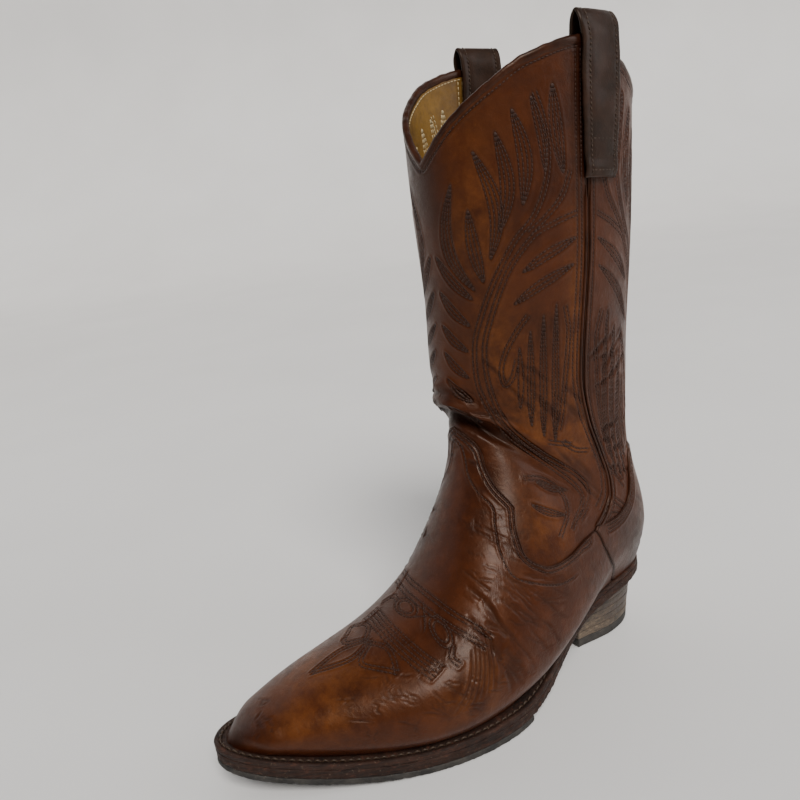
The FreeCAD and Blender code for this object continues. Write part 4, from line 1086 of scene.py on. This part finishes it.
LEATHER = boot_leather()
TRIM = trim_leather("binding_leather", (0.016, 0.0042, 0.0022), (0.045, 0.0125, 0.005), 0.30, 0.45)
STRAP = trim_leather("strap_leather", (0.0075, 0.0032, 0.0020), (0.024, 0.0095, 0.0055), 0.42, 0.62, 0.22)
LINING = lining_leather()
SOLE = sole_edge()
STACK = stacked_leather()
RUBBER = rubber("sole_rubber", 0.020)
DARK_THREAD = thread_material("brown_thread", (0.014, 0.0045, 0.0022), (0.050, 0.0175, 0.0080))
PALE_THREAD = thread_material("cream_thread", (0.36, 0.27, 0.13), (0.62, 0.50, 0.30))
STRAP_THREAD = thread_material("strap_thread", (0.022, 0.012, 0.007), (0.080, 0.048, 0.028))
WELT_THREAD = thread_material("welt_thread", (0.020, 0.011, 0.007), (0.070, 0.042, 0.026))
BOARD = plain_fibre("stiffener_board", (0.24, 0.17, 0.10), (0.40, 0.30, 0.20), 260, 0.9, 0.1)
INSOLE = plain_fibre("insole_leather", (0.26, 0.17, 0.09), (0.46, 0.33, 0.20), 90, 0.75, 0.15)
CORK = plain_fibre("cork", (0.13, 0.075, 0.04), (0.44, 0.30, 0.17), 420, 0.95, 0.4)
PEG_WOOD = plain_fibre("peg_wood", (0.36, 0.24, 0.12), (0.60, 0.44, 0.26), 700, 0.7, 0.1)
STEEL = brushed_steel()

CARRIED = {
    "toe_puff": BOARD, "counter_stiffener": BOARD, "insole": INSOLE, "sock_pad": LINING,
    "shank": STEEL, "shank_tacks": STEEL, "bottom_filler": CORK,
}
for node_name, node_material in CARRIED.items():
    for slot_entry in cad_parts[node_name].material_slots:
        slot_entry.material = node_material

# ---------------------------------------------------------------------------
# Upper
# ---------------------------------------------------------------------------

fine = 1.0


def counted(columns, lines):
    return int(columns * fine), int(lines * fine)


LEATHER_SHEET = 1.9
# The foot's face lies outside the leg's, and a thread's middle lies just inside the face
OVERLAY = -1.2
THREAD_SINK = 0.12
for piece_name, patch, counts, depth, piece_rows, creases, node in (
    ("vamp_leather", vamp_patch, (330, 270), OVERLAY, VAMP_ROWS, VAMP_CREASES, "vamp"),
    ("shaft_front_leather", front_patch, (250, 360), 0.0, FRONT_ROWS, LEG_CREASES, "shaft_front"),
    ("shaft_back_leather", back_patch, (230, 350), 0.0, BACK_ROWS, LEG_CREASES, "shaft_back"),
    ("heel_counter_leather", counter_patch, (220, 90), OVERLAY, COUNTER_ROWS, COUNTER_CREASES,
     "heel_counter"),
):
    leather_panel(piece_name, patch, counted(*counts), depth, LEATHER_SHEET, piece_rows, creases, (node,))

for piece_name, piece_rows, piece_depth in (
    ("vamp_thread", VAMP_ROWS, OVERLAY + THREAD_SINK),
    ("shaft_front_thread", FRONT_ROWS, THREAD_SINK),
    ("shaft_back_thread", BACK_ROWS, THREAD_SINK),
    ("counter_thread", COUNTER_ROWS, OVERLAY + THREAD_SINK),
):
    points, faces = thread(piece_rows, piece_depth)
    make_piece(piece_name, points, faces, DARK_THREAD, "thread")


# The lining's two faces, as depths inside the leather's outer face
LINING_OUTER, LINING_INNER = 2.0, 2.9


def lining_panel(name, patch, counts, stands_for, row_paths, deep_creases=()):
    """Both faces of a lining, the inner one puckered by the stitch rows that come through it."""
    columns, lines = counts
    grid_u, grid_v = np.meshgrid(np.linspace(0, 1, columns), np.linspace(0, 1, lines), indexing="ij")
    station, turn = patch(grid_u, grid_v)
    distance, _ = Lines(row_paths, 0.8).measure(upper(station, turn))
    pucker = 0.25 * np.exp(-(distance / 0.8) ** 2) - 0.18 * np.exp(-((distance - 1.4) / 0.8) ** 2)
    sunk = np.zeros(station.shape)
    for paths, deep, wide in deep_creases:
        away, strength = Lines(paths, 0.8, fade=True).measure(upper(station, turn))
        sunk += 1.1 * deep * strength * np.exp(-(away / (1.2 * wide)) ** 2)
    inner = skin(station, turn, LINING_INNER - pucker + sunk)
    outer = skin(station, turn, LINING_OUTER + sunk)
    shell = join_parts([(inner, grid_faces(columns, lines)), (outer, grid_faces(columns, lines)[:, ::-1])])
    return make_piece(name, *shell, LINING, "lining_leather", stands_for)


lining_panel("foot_lining", vamp_patch, counted(150, 150), ("vamp_lining",), VAMP_ROWS)
lining_panel("heel_lining_leather", counter_patch, counted(120, 50), ("heel_lining",), COUNTER_ROWS)
lining_panel("front_lining", front_patch, counted(150, 190), ("shaft_front_lining",), FRONT_ROWS,
             LEG_CREASES[:2])
lining_panel("back_lining", back_patch, counted(150, 190), ("shaft_back_lining",), BACK_ROWS,
             LEG_CREASES[:2])
for piece_name, piece_rows in (("front_lining_thread", FRONT_ROWS), ("back_lining_thread", BACK_ROWS)):
    points, faces = thread(piece_rows, LINING_INNER + 0.02, pitch=2.9, radius=0.38, facing=-1)
    make_piece(piece_name, points, faces, PALE_THREAD, "thread")

# ---------------------------------------------------------------------------
# Topline bead and side piping
# ---------------------------------------------------------------------------

# Cross-section over the top edge as (depth inside the outer face, rise above the edge)
BEAD_PROFILE = [
    (-0.22, -3.0), (-0.55, -2.2), (-0.62, -0.8), (-0.50, 0.4), (-0.05, 1.15), (0.75, 1.5), (1.45, 1.6),
    (2.15, 1.5), (2.95, 1.15), (3.35, 0.4), (3.45, -0.8), (3.38, -2.2), (3.05, -3.0),
]


def bead(name, first_turn, last_turn, count, stands_for):
    """Binding folded over the top edge, from 3 mm down outside to 3 mm down inside."""
    turn = np.linspace(first_turn, last_turn, count)
    station = TOP_EDGE.at(fold(turn))
    _, per_station, _ = surface_frame(station, turn)
    upward = per_station / np.linalg.norm(per_station, axis=1, keepdims=True)
    wave = 0.12 * np.sin(turn * 37) + 0.10 * np.sin(turn * 61 + 1)
    lines = [skin(station, turn, depth) + upward * (rise + wave)[:, None] for depth, rise in BEAD_PROFILE]
    points = np.stack(lines, 1)
    faces = grid_faces(count, len(BEAD_PROFILE))
    return make_piece(name, points, faces, TRIM, "upper_leather", stands_for)


bead("topline_bead_front", -SEAM_TURN, SEAM_TURN, 260, ("topline_binding_front",))
bead("topline_bead_back", SEAM_TURN, 2 * PI - SEAM_TURN, 240, ("topline_binding_back",))
SIDES = ((1, "lateral"), (-1, "medial"))
PIPING_FOOT, PIPING_HEAD = 6.30, 11.75
for side, side_name in SIDES:
    station = np.linspace(PIPING_FOOT, PIPING_HEAD, 260)
    turn = side * SIDE_SEAM.at(station)
    ends = np.clip(np.minimum(station - PIPING_FOOT, PIPING_HEAD - station) / 0.12, 0.25, 1)
    cords = []
    for shift, radius in ((-0.022, 0.85), (0.022, 0.75)):
        path = np.stack([station, turn + side * shift], 1)
        cords.append(tube(skin(path[:, 0], path[:, 1], -0.25), radius * ends, 12))
    points, faces = join_parts(cords)
    make_piece("seam_piping_" + side_name, points, faces, TRIM, "upper_leather",
               ("side_piping_" + side_name,))

# ---------------------------------------------------------------------------
# Pull straps
# ---------------------------------------------------------------------------

STRAP_SHEET = 2.2
STRAP_MIDDLE = 1.72
STRAP_HALF = 12.2
STRAP_SEAM = 8.6
STRAP_OUTER_FOOT, STRAP_INNER_FOOT = 293, 301
STRAP_RIM = 12.86


def strap_points(side, k, across, height):
    """Point of a strap: k runs 0 to 3 up the outer leg, over the loop and down the inner leg;
    across is mm from its middle line, height is mm off its inner face."""
    k, across, height = np.broadcast_arrays(np.asarray(k, float), across, height)
    # narrower toward its foot, pinched where it crosses the rim, its end folded under
    across = across * (1 - 0.20 * (1 - np.clip(k, 0, 1)) ** 1.5 - 0.07 * np.exp(-((k - 1.0) / 0.12) ** 2))
    height = height + 0.9 * np.exp(-((k - 0.07) / 0.06) ** 2)
    foot = at_height(STRAP_MIDDLE, STRAP_OUTER_FOOT)
    inner_foot = at_height(STRAP_MIDDLE, STRAP_INNER_FOOT)
    rim = STRAP_RIM
    turn = side * (STRAP_MIDDLE + across / 61.0)
    bow = 0.7 * np.sin(np.clip(k, 0, 1) * PI) + 1.1 * np.clip(k, 0, 1)
    outer_station = foot + (rim - foot) * np.clip(k, 0, 1)
    outer = skin(outer_station, turn, -(0.45 + bow + height))
    inner_station = rim + (inner_foot - rim) * np.clip(k - 2, 0, 1)
    inner = skin(inner_station, turn, 2.95 + 0.5 + 1.3 * np.clip(3 - k, 0, 1) + height)
    angle = np.clip(k - 1, 0, 1) * PI
    middle = (outer + inner) / 2
    arm = (outer - inner) / 2
    wide = np.linalg.norm(arm, axis=-1, keepdims=True)
    up = np.array([0.0, 0.02, 1.0]) * (wide + 9.5)
    lean = 0.03 * across[..., None] * np.sin(angle)[..., None] * np.array([0.0, 0.0, 1.0])
    loop = middle + arm * np.cos(angle)[..., None] + up * np.sin(angle)[..., None] - lean
    k = k[..., None]
    return np.where(k < 1, outer, np.where(k > 2, inner, loop))


def strap_section():
    """Closed outline of the strap's cross-section as (across, height), with soft edges."""
    flat = np.linspace(-STRAP_HALF + 1.0, STRAP_HALF - 1.0, 22)
    crown = 0.25 * (1 - (flat / STRAP_HALF) ** 2)
    groove = 0.40 * np.exp(-((abs(flat) - STRAP_SEAM) / 0.7) ** 2)
    top = np.stack([flat, STRAP_SHEET + crown - groove], 1)
    arc = np.linspace(PI / 2, -PI / 2, 8)[1:-1]
    right = np.stack([STRAP_HALF - 1.0 + 1.0 * np.cos(arc), 1.1 + 1.1 * np.sin(arc)], 1)
    bottom = np.stack([flat[::-1], np.zeros(22)], 1)
    left = right[::-1] * (-1, 1)
    return np.concatenate([top, right, bottom, left])


def strap_mesh(side):
    """Points and faces of a whole strap, closed at both ends."""
    section = strap_section()
    k = np.concatenate([np.linspace(0, 1, 60), np.linspace(1, 2, 34)[1:], np.linspace(2, 3, 54)[1:]])
    foot_fold = 0.5 * np.exp(-(k / 0.03) ** 2)
    grid_k, across = np.broadcast_arrays(k[:, None], section[:, 0])
    height = section[:, 1] * (1 - 0.3 * foot_fold[:, None])
    height = height + 0.18 * np.sin(k * 23 + 2)[:, None] * np.cos(section[:, 0] / 5)
    points = strap_points(side, grid_k, across, height)
    faces = grid_faces(len(k), len(section), wrap=True)
    ring = len(section)
    caps = [[first + (ring - j) % ring, first + j, first + j + 1, first + ring - j - 1]
            for first in (0, (len(k) - 1) * ring) for j in range(ring // 2)]
    return points, np.concatenate([faces, np.array(caps)])


def strap_stitches(side):
    """Stitches along both edges of a strap and across its foot."""
    stitches = []
    lines = [[(k_at, edge) for k_at in np.linspace(0.03, 2.9, 300)] for edge in (-STRAP_SEAM, STRAP_SEAM)]
    lines += [[(k_at, edge) for edge in np.linspace(-8.0, 8.0, 30)] for k_at in (0.06, 0.30)]
    for line in lines:
        line = np.array(line)
        centre = strap_points(side, line[:, 0], line[:, 1], STRAP_SHEET + 0.1)
        run = lengths_along(centre)
        count = int(run[-1] / 2.6)
        for number in range(count):
            at = (number + np.array([0.1, 0.3, 0.5, 0.7, 0.9])) * run[-1] / count
            bow = np.array([-0.35, 0.05, 0.15, 0.05, -0.35])
            stitch = strap_points(side, np.interp(at, run, line[:, 0]), np.interp(at, run, line[:, 1]),
                                  STRAP_SHEET - 0.12 + bow)
            stitches.append(tube(stitch, np.array([0.22, 0.36, 0.40, 0.36, 0.22]), 6))
    return join_parts(stitches)


for side, side_name in SIDES:
    make_piece("pull_strap_leather_" + side_name, *strap_mesh(side), STRAP, "strap_leather",
               ("pull_strap_" + side_name,))
    make_piece("pull_strap_thread_" + side_name, *strap_stitches(side), STRAP_THREAD, "thread")


# ---------------------------------------------------------------------------
# Sole
# ---------------------------------------------------------------------------


def roughness_at(points, scale, seed):
    """Smooth chance between about -1 and 1 at each point."""
    return np.array([noise.noise(Vector(point) * scale + Vector((seed, seed, 0))) for point in points])


def close_end(points, faces, first, rings, upward):
    """Adds rings of points that run inward from the border at number first, and their faces."""
    count = len(rings[0])
    start = len(points)
    points = np.concatenate([points] + rings)
    border = first + np.arange(count)
    for step in range(len(rings)):
        ring = start + step * count + np.arange(count)
        quads = np.stack([border, np.roll(border, -1), np.roll(ring, -1), ring], 1)
        faces = np.concatenate([faces, quads if upward else quads[:, ::-1]])
        border = ring
    return points, faces


def sole_layer(name, loop, profile, material, slot, stands_for, rough, seed, keep=None, closed=False):
    """Edge of a sole layer swept round a loop. profile is (inset, rise) from the top to the bottom;
    keep is a (first, last) range along the boot, and closed adds the top and bottom faces."""
    normal = inward(loop)
    rings = []
    for inset, rise in profile:
        ring = loop + normal * inset
        height = sole_level(ring[:, 1], rise)
        points = np.concatenate([ring, height[:, None]], 1)
        worn = roughness_at(points, 0.35, seed) * 0.6 + roughness_at(points, 1.1, seed + 5) * 0.4
        outer = np.clip(1 - inset / 3.0, 0, 1)
        shift = (worn * rough * outer)[:, None]
        points[:, :2] += normal * shift
        points[:, 2] += worn * rough * 0.35 * outer
        rings.append(points)
    count = len(loop)
    points = np.concatenate(rings)
    faces = grid_faces(len(profile), count, wrap=True)[:, ::-1]
    spine_low, spine_high = loop[:, 1].min() + 26, loop[:, 1].max() - 26
    spine_y = np.clip(loop[:, 1], min(spine_low, spine_high), max(spine_low, spine_high))
    spine_x = np.interp(spine_y, (-240, -150, -60, 20), (-12, 4, 4, 0))
    steps = 18
    for end in (1, -1) if closed else ():
        edge = rings[0] if end > 0 else rings[-1]
        first = 0 if end > 0 else (len(profile) - 1) * count
        rise = profile[0 if end > 0 else -1][1]
        extra = []
        for step in range(1, steps + 1):
            k = step / steps
            ring = edge[:, :2] * (1 - k) + np.stack([spine_x, spine_y], 1) * k
            level_ring = np.concatenate([ring, ring[:, :1] * 0], 1)
            dish = roughness_at(level_ring, 0.06, seed + 9) * 0.5 * min(1, 4 * k)
            extra.append(np.concatenate([ring, (sole_level(ring[:, 1], rise) + 0.2 * dish)[:, None]], 1))
        points, faces = close_end(points, faces, first, extra, end > 0)
    if keep:
        middle = points[faces].mean(1)[:, 1]
        faces = faces[(middle > keep[0]) & (middle < keep[1])]
        used = np.unique(faces)
        renumber = np.zeros(len(points), int)
        renumber[used] = np.arange(len(used))
        points, faces = points[used], renumber[faces]
    return make_piece(name, points, faces, material, slot, stands_for)


sole_layer("welt_strip", outline_loop, [
    (14.0, 0.0), (10.0, 0.02), (6.0, 0.04), (4.6, 0.0), (4.1, -0.35), (3.4, -0.55), (2.7, -0.35),
    (2.2, 0.05), (1.2, 0.08), (0.55, -0.08), (0.15, -0.5), (0.0, -1.2), (0.0, -2.2), (0.08, -3.1),
    (0.4, -3.45), (14.0, -3.48),
], SOLE, "sole_leather", ("welt",), 0.35, 3, (-300, BREAST))
sole_layer("heel_rand_strip", outline_loop, [
    (9.0, -0.5), (1.6, -0.5), (0.7, -0.62), (0.15, -1.1), (0.0, -1.9), (0.15, -2.8), (0.8, -3.35),
    (9.0, -3.4),
], SOLE, "sole_leather", ("heel_rand",), 0.2, 5, (BREAST, 60))
sole_layer("outsole_leather", outline_loop, [
    (22.0, -3.52), (0.5, -3.52), (0.12, -3.65), (0.0, -4.3), (0.0, -5.4), (0.0, -6.6), (0.05, -7.8),
    (0.2, -8.75), (0.6, -8.98), (3.0, -9.0),
], SOLE, "sole_leather", ("outsole",), 0.55, 7, closed=True)

# Rubber half sole: the outline in front of a bowed line behind the ball
HALF_SOLE_REAR = -98.0
forepart = outline_loop[outline_loop[:, 1] < HALF_SOLE_REAR - 1]
starts = np.flatnonzero(np.linalg.norm(np.diff(forepart, axis=0), axis=1) > 5)
forepart = np.roll(forepart, -(starts[0] + 1), 0) if len(starts) else forepart
rear_x = np.linspace(forepart[-1, 0], forepart[0, 0], 120)[1:-1]
rear_line = np.stack([rear_x, HALF_SOLE_REAR + 4 - 8 * np.abs(rear_x) / 100], 1)
half_loop = even_loop(np.concatenate([forepart, rear_line]), 900)
sole_layer("half_sole_rubber", half_loop, [
    (18.0, -9.04), (0.5, -9.04), (0.12, -9.18), (0.0, -9.8), (0.0, -10.8), (0.1, -11.9), (0.5, -12.7),
    (1.4, -13.15), (3.0, -13.2),
], RUBBER, "rubber", ("half_sole",), 0.5, 11, closed=True)

# Welt stitches: one slanting thread per hole, in the channel round the welt
WELT_SEAM_INSET, WELT_PITCH, WELT_POINTS = 3.4, 4.4, 2000
welt_line = even_loop(outline_loop + inward(outline_loop) * WELT_SEAM_INSET, WELT_POINTS)
welt_run = np.linalg.norm(np.diff(np.concatenate([welt_line, welt_line[:1]]), axis=0), axis=1).sum()
stitch_count = int(welt_run / WELT_PITCH)
stitches = []
for number in range(stitch_count):
    first = int(number * WELT_POINTS / stitch_count)
    reach = int(0.80 * WELT_POINTS / stitch_count)
    centre = welt_line[np.linspace(first, first + reach, 6).astype(int) % WELT_POINTS]
    if centre[:, 1].max() > BREAST - 4:
        continue
    bow = np.array([-0.45, 0.25, 0.50, 0.50, 0.25, -0.45])
    height = sole_level(centre[:, 1], 0) + bow
    thick = np.array([0.35, 0.60, 0.68, 0.68, 0.60, 0.35])
    stitches.append(tube(np.concatenate([centre, height[:, None]], 1), thick, 8))
points, faces = join_parts(stitches)
make_piece("welt_thread", points, faces, WELT_THREAD, "thread", ("welt_stitching",))



def round_head(x, y, profile, sides, level):
    """Head of a peg or nail: rings of (radius, rise) over the face that it sits in."""
    angle = np.arange(sides) * 2 * PI / sides
    rings = []
    for radius, rise in profile:
        ring_y = y + radius * np.sin(angle)
        rings.append(np.stack([x + radius * np.cos(angle), ring_y, level(ring_y) + rise], 1))
    return np.concatenate(rings), grid_faces(len(profile), sides, wrap=True)


# Peg heads in a row down each side of the waist, which narrows toward the heel
PEG_PROFILE = ((1.3, 0.35), (1.28, -0.1), (1.0, -0.28), (0.5, -0.36), (0.05, -0.38))
PEG_PITCH, WAIST_FRONT = 8.0, -95.0
pegs = []
for peg_y in np.arange(WAIST_FRONT + PEG_PITCH, BREAST - PEG_PITCH, PEG_PITCH):
    along = (peg_y - WAIST_FRONT) / (BREAST - WAIST_FRONT)
    for peg_x in (57 - 29 * along, -(37 - 13 * along)):
        pegs.append(round_head(peg_x, peg_y, PEG_PROFILE, 16, lambda y: sole_level(y, -9.0)))
points, faces = join_parts(pegs)
make_piece("waist_peg_heads", points, faces, PEG_WOOD, "peg_wood", ("waist_pegs",))

# ---------------------------------------------------------------------------
# Stacked heel
# ---------------------------------------------------------------------------

HEEL_TOP, HEEL_CAP, LIFT, LIFT_COUNT = 50.0, 6.0, 5.0, 6


def heel_loop(level, count=420):
    """The heel's D-shaped outline at one height."""
    part = level / HEEL_TOP
    ease = 0.52 * part + 0.48 * part * part
    breast = BREAST - 4.0 * ease
    rear = 29.0 + 10.5 * ease
    half = 27.0 + 6.5 * ease
    knots = np.array([
        (half * 0.93, breast), (half, breast + (rear - breast) * 0.5), (half * 0.72, rear - half * 0.30),
        (0, rear), (-half * 0.72, rear - half * 0.30), (-half, breast + (rear - breast) * 0.5),
        (-half * 0.93, breast),
    ])
    back = smooth_path(knots, 30)
    front = np.linspace(knots[-1], knots[0], 60)[1:-1]
    return even_loop(np.concatenate([back, front]), count)


def under_seat(y, low, high):
    """Top of a lift along the boot, where the heel seat cuts it off."""
    return np.minimum(high, np.maximum(sole_level(y, -9.05), low + 0.02))


def heel_slice(name, low, high, material, slot, node, seed):
    """One lift: a side band with softened edges, clipped under the seat, and its two faces."""
    shades = np.array([0.0, 0.04, 0.12, 0.3, 0.5, 0.7, 0.88, 0.96, 1.0])
    soft = np.array([0.70, 0.22, 0.04, 0.0, 0.0, 0.0, 0.04, 0.22, 0.70])
    chance = np.random.default_rng(seed)
    proud = chance.uniform(-0.10, 0.22)
    base = heel_loop((low + high) / 2)
    top = under_seat(base[:, 1], low, high)
    rings = []
    for share, inset in zip(shades, soft):
        height = low + 0.03 + (top - low - 0.06) * share
        loop = heel_loop(float(np.mean(height)))
        normal = inward(loop)
        points = np.concatenate([loop, height[:, None]], 1)
        worn = roughness_at(points, 0.5, seed) * 0.6 + roughness_at(points, 1.6, seed + 3) * 0.4
        points[:, :2] += normal * (inset - proud + 0.22 * worn)[:, None]
        rings.append(points)
    count = len(base)
    points = np.concatenate(rings)
    faces = grid_faces(len(shades), count, wrap=True)[:, ::-1]
    present = (top - low) > 0.35
    column = np.tile(np.arange(count), len(shades) - 1)
    faces = faces[present[column] & present[(column + 1) % count]]
    middle_y = float(np.mean(base[:, 1]))
    for end, ring in ((-1, rings[0]), (1, rings[-1])):
        first = 0 if end < 0 else (len(shades) - 1) * count
        extra = []
        for k in 0.98 * np.arange(1, 11) / 10:
            x = ring[:, 0] * (1 - k)
            y = ring[:, 1] * (1 - k) + middle_y * k
            level = under_seat(y, low, high) if end > 0 else low + 0 * y
            extra.append(np.stack([x, y, level], 1))
        points, faces = close_end(points, faces, first, extra, end > 0)
    return make_piece(name, points, faces, material, slot, (node,))


heel_slice("heel_top_lift_rubber", 0.0, HEEL_CAP, RUBBER, "rubber", "heel_cap", 21)
for number in range(LIFT_COUNT):
    low = HEEL_CAP + number * LIFT
    high = low + LIFT if number < LIFT_COUNT - 1 else HEEL_TOP
    heel_slice("heel_lift_leather_%d" % (number + 1), low, high, STACK, "heel_leather",
               "heel_lift_%d" % (number + 1), 31 + number)

# Worn nail heads, flush in the tread face
NAIL_PLACES = [(-17, -20), (-20, -4), (-14, 11), (0, 18), (14, 11), (20, -4), (17, -20)]
NAIL_PROFILE = ((1.75, 0.6), (1.72, 0.05), (1.55, -0.10), (1.10, -0.15), (0.60, -0.10), (0.05, -0.06))
nails = [round_head(x, y, NAIL_PROFILE, 20, lambda ring_y: 0 * ring_y) for x, y in NAIL_PLACES]
points, faces = join_parts(nails)
make_piece("heel_nail_heads", points, faces, STEEL, "steel", ("heel_nails",))

# ---------------------------------------------------------------------------
# Floor, light and camera
# ---------------------------------------------------------------------------


def floor_material():
    """Plain pale grey with a faint cloud."""
    s = Shader("pale_floor")
    shade = s.blend(s.span(s.noise(3, 3), 0.3, 0.7), (0.80, 0.79, 0.78), (0.84, 0.83, 0.82))
    return s.finish(shade, s.span(s.noise(8, 2), 0.3, 0.7, 0.55, 0.65))


FLOOR = floor_material()
# Direction that the camera looks from, and its roll about that direction
AZIMUTH, ELEVATION, ROLL = math.radians(59.04), math.radians(15.66), math.radians(-7.69)
CAMERA_PLACE = Vector((0.3609, -0.3399, 0.3075))
AWAY = np.array([-math.sin(AZIMUTH), math.cos(AZIMUTH)])
ASIDE = np.array([math.cos(AZIMUTH), math.sin(AZIMUTH)])


def stage_mesh(name, corners, faces):
    """Piece of the stage, in metres."""
    mesh = bpy.data.meshes.new(name)
    mesh.from_pydata([tuple(float(part) for part in corner) for corner in corners], [], faces)
    mesh.polygons.foreach_set("use_smooth", [True] * len(mesh.polygons))
    mesh.materials.append(FLOOR)
    item = bpy.data.objects.new(name, mesh)
    bpy.context.scene.collection.objects.link(item)


# in metres: a floor all round, and a backdrop that curves up from it behind the boot
FLOOR_HALF = 40
floor_corners = [(x * FLOOR_HALF, y * FLOOR_HALF, -0.0003) for x, y in ((-1, -1), (1, -1), (1, 1), (-1, 1))]
stage_mesh("floor", floor_corners, [(0, 1, 2, 3)])
BACKDROP_START, BACKDROP_RADIUS, BACKDROP_HEIGHT, BACKDROP_HALF = 2.4, 1.2, 6.0, 9.0
curve_angle = np.linspace(0, PI / 2, 24)
curve_reach = BACKDROP_START + BACKDROP_RADIUS * np.sin(curve_angle)
curve_rise = BACKDROP_RADIUS * (1 - np.cos(curve_angle)) - 0.0002
curve_reach = np.concatenate([curve_reach, [BACKDROP_START + BACKDROP_RADIUS]])
curve_rise = np.concatenate([curve_rise, [BACKDROP_HEIGHT]])
backdrop_points = [
    (*(AWAY * reach + ASIDE * aside), rise)
    for reach, rise in zip(curve_reach, curve_rise) for aside in (-BACKDROP_HALF, BACKDROP_HALF)
]
stage_mesh("backdrop", backdrop_points, grid_faces(len(curve_reach), 2).tolist())

world = bpy.data.worlds.new("soft_studio")
bpy.context.scene.world = world
world.use_nodes = True
world.node_tree.nodes["Background"].inputs[0].default_value = (0.93, 0.96, 1.0, 1)
world.node_tree.nodes["Background"].inputs[1].default_value = 0.16
TARGET = Vector((0.0, -0.08, 0.17))


def soft_light(name, place, energy, width, height, colour):
    """Area light at a place, turned toward the boot."""
    data = bpy.data.lights.new(name, "AREA")
    data.shape = "RECTANGLE"
    data.size, data.size_y = width, height
    data.energy = energy
    data.color = colour
    lamp = bpy.data.objects.new(name, data)
    lamp.location = place
    lamp.rotation_euler = (TARGET - Vector(place)).to_track_quat("-Z", "Y").to_euler()
    bpy.context.scene.collection.objects.link(lamp)


def far_light(name, direction, strength, spread, colour):
    """Even light from one side that reaches the floor and the backdrop too."""
    data = bpy.data.lights.new(name, "SUN")
    data.energy = strength
    data.angle = math.radians(spread)
    data.color = colour
    lamp = bpy.data.objects.new(name, data)
    lamp.rotation_euler = Vector(direction).to_track_quat("Z", "Y").to_euler()
    bpy.context.scene.collection.objects.link(lamp)


far_light("key", (0.85, -0.25, 1.00), 3.0, 26, (1.0, 0.97, 0.93))
soft_light("fill", (-0.9, -1.0, 0.8), 2.0, 0.9, 0.9, (0.88, 0.93, 1.0))
soft_light("rim", (0.9, 0.9, 0.8), 5, 0.5, 0.9, (0.95, 0.97, 1.0))

sight = Vector((-math.sin(AZIMUTH) * math.cos(ELEVATION), math.cos(AZIMUTH) * math.cos(ELEVATION),
                -math.sin(ELEVATION)))
right = Vector((math.cos(AZIMUTH), math.sin(AZIMUTH), 0))
over = right.cross(sight)
camera_right = right * math.cos(ROLL) + over * math.sin(ROLL)
camera_up = over * math.cos(ROLL) - right * math.sin(ROLL)
camera_data = bpy.data.cameras.new("camera")
camera_data.lens = 35.56
camera_data.sensor_width = 36.0
camera_data.clip_start = 0.01
camera = bpy.data.objects.new("camera", camera_data)
pose = Matrix((camera_right, camera_up, -sight)).transposed().to_4x4()
pose.translation = CAMERA_PLACE
camera.matrix_world = pose
bpy.context.scene.collection.objects.link(camera)
bpy.context.scene.camera = camera

bpy.context.view_layer.update()
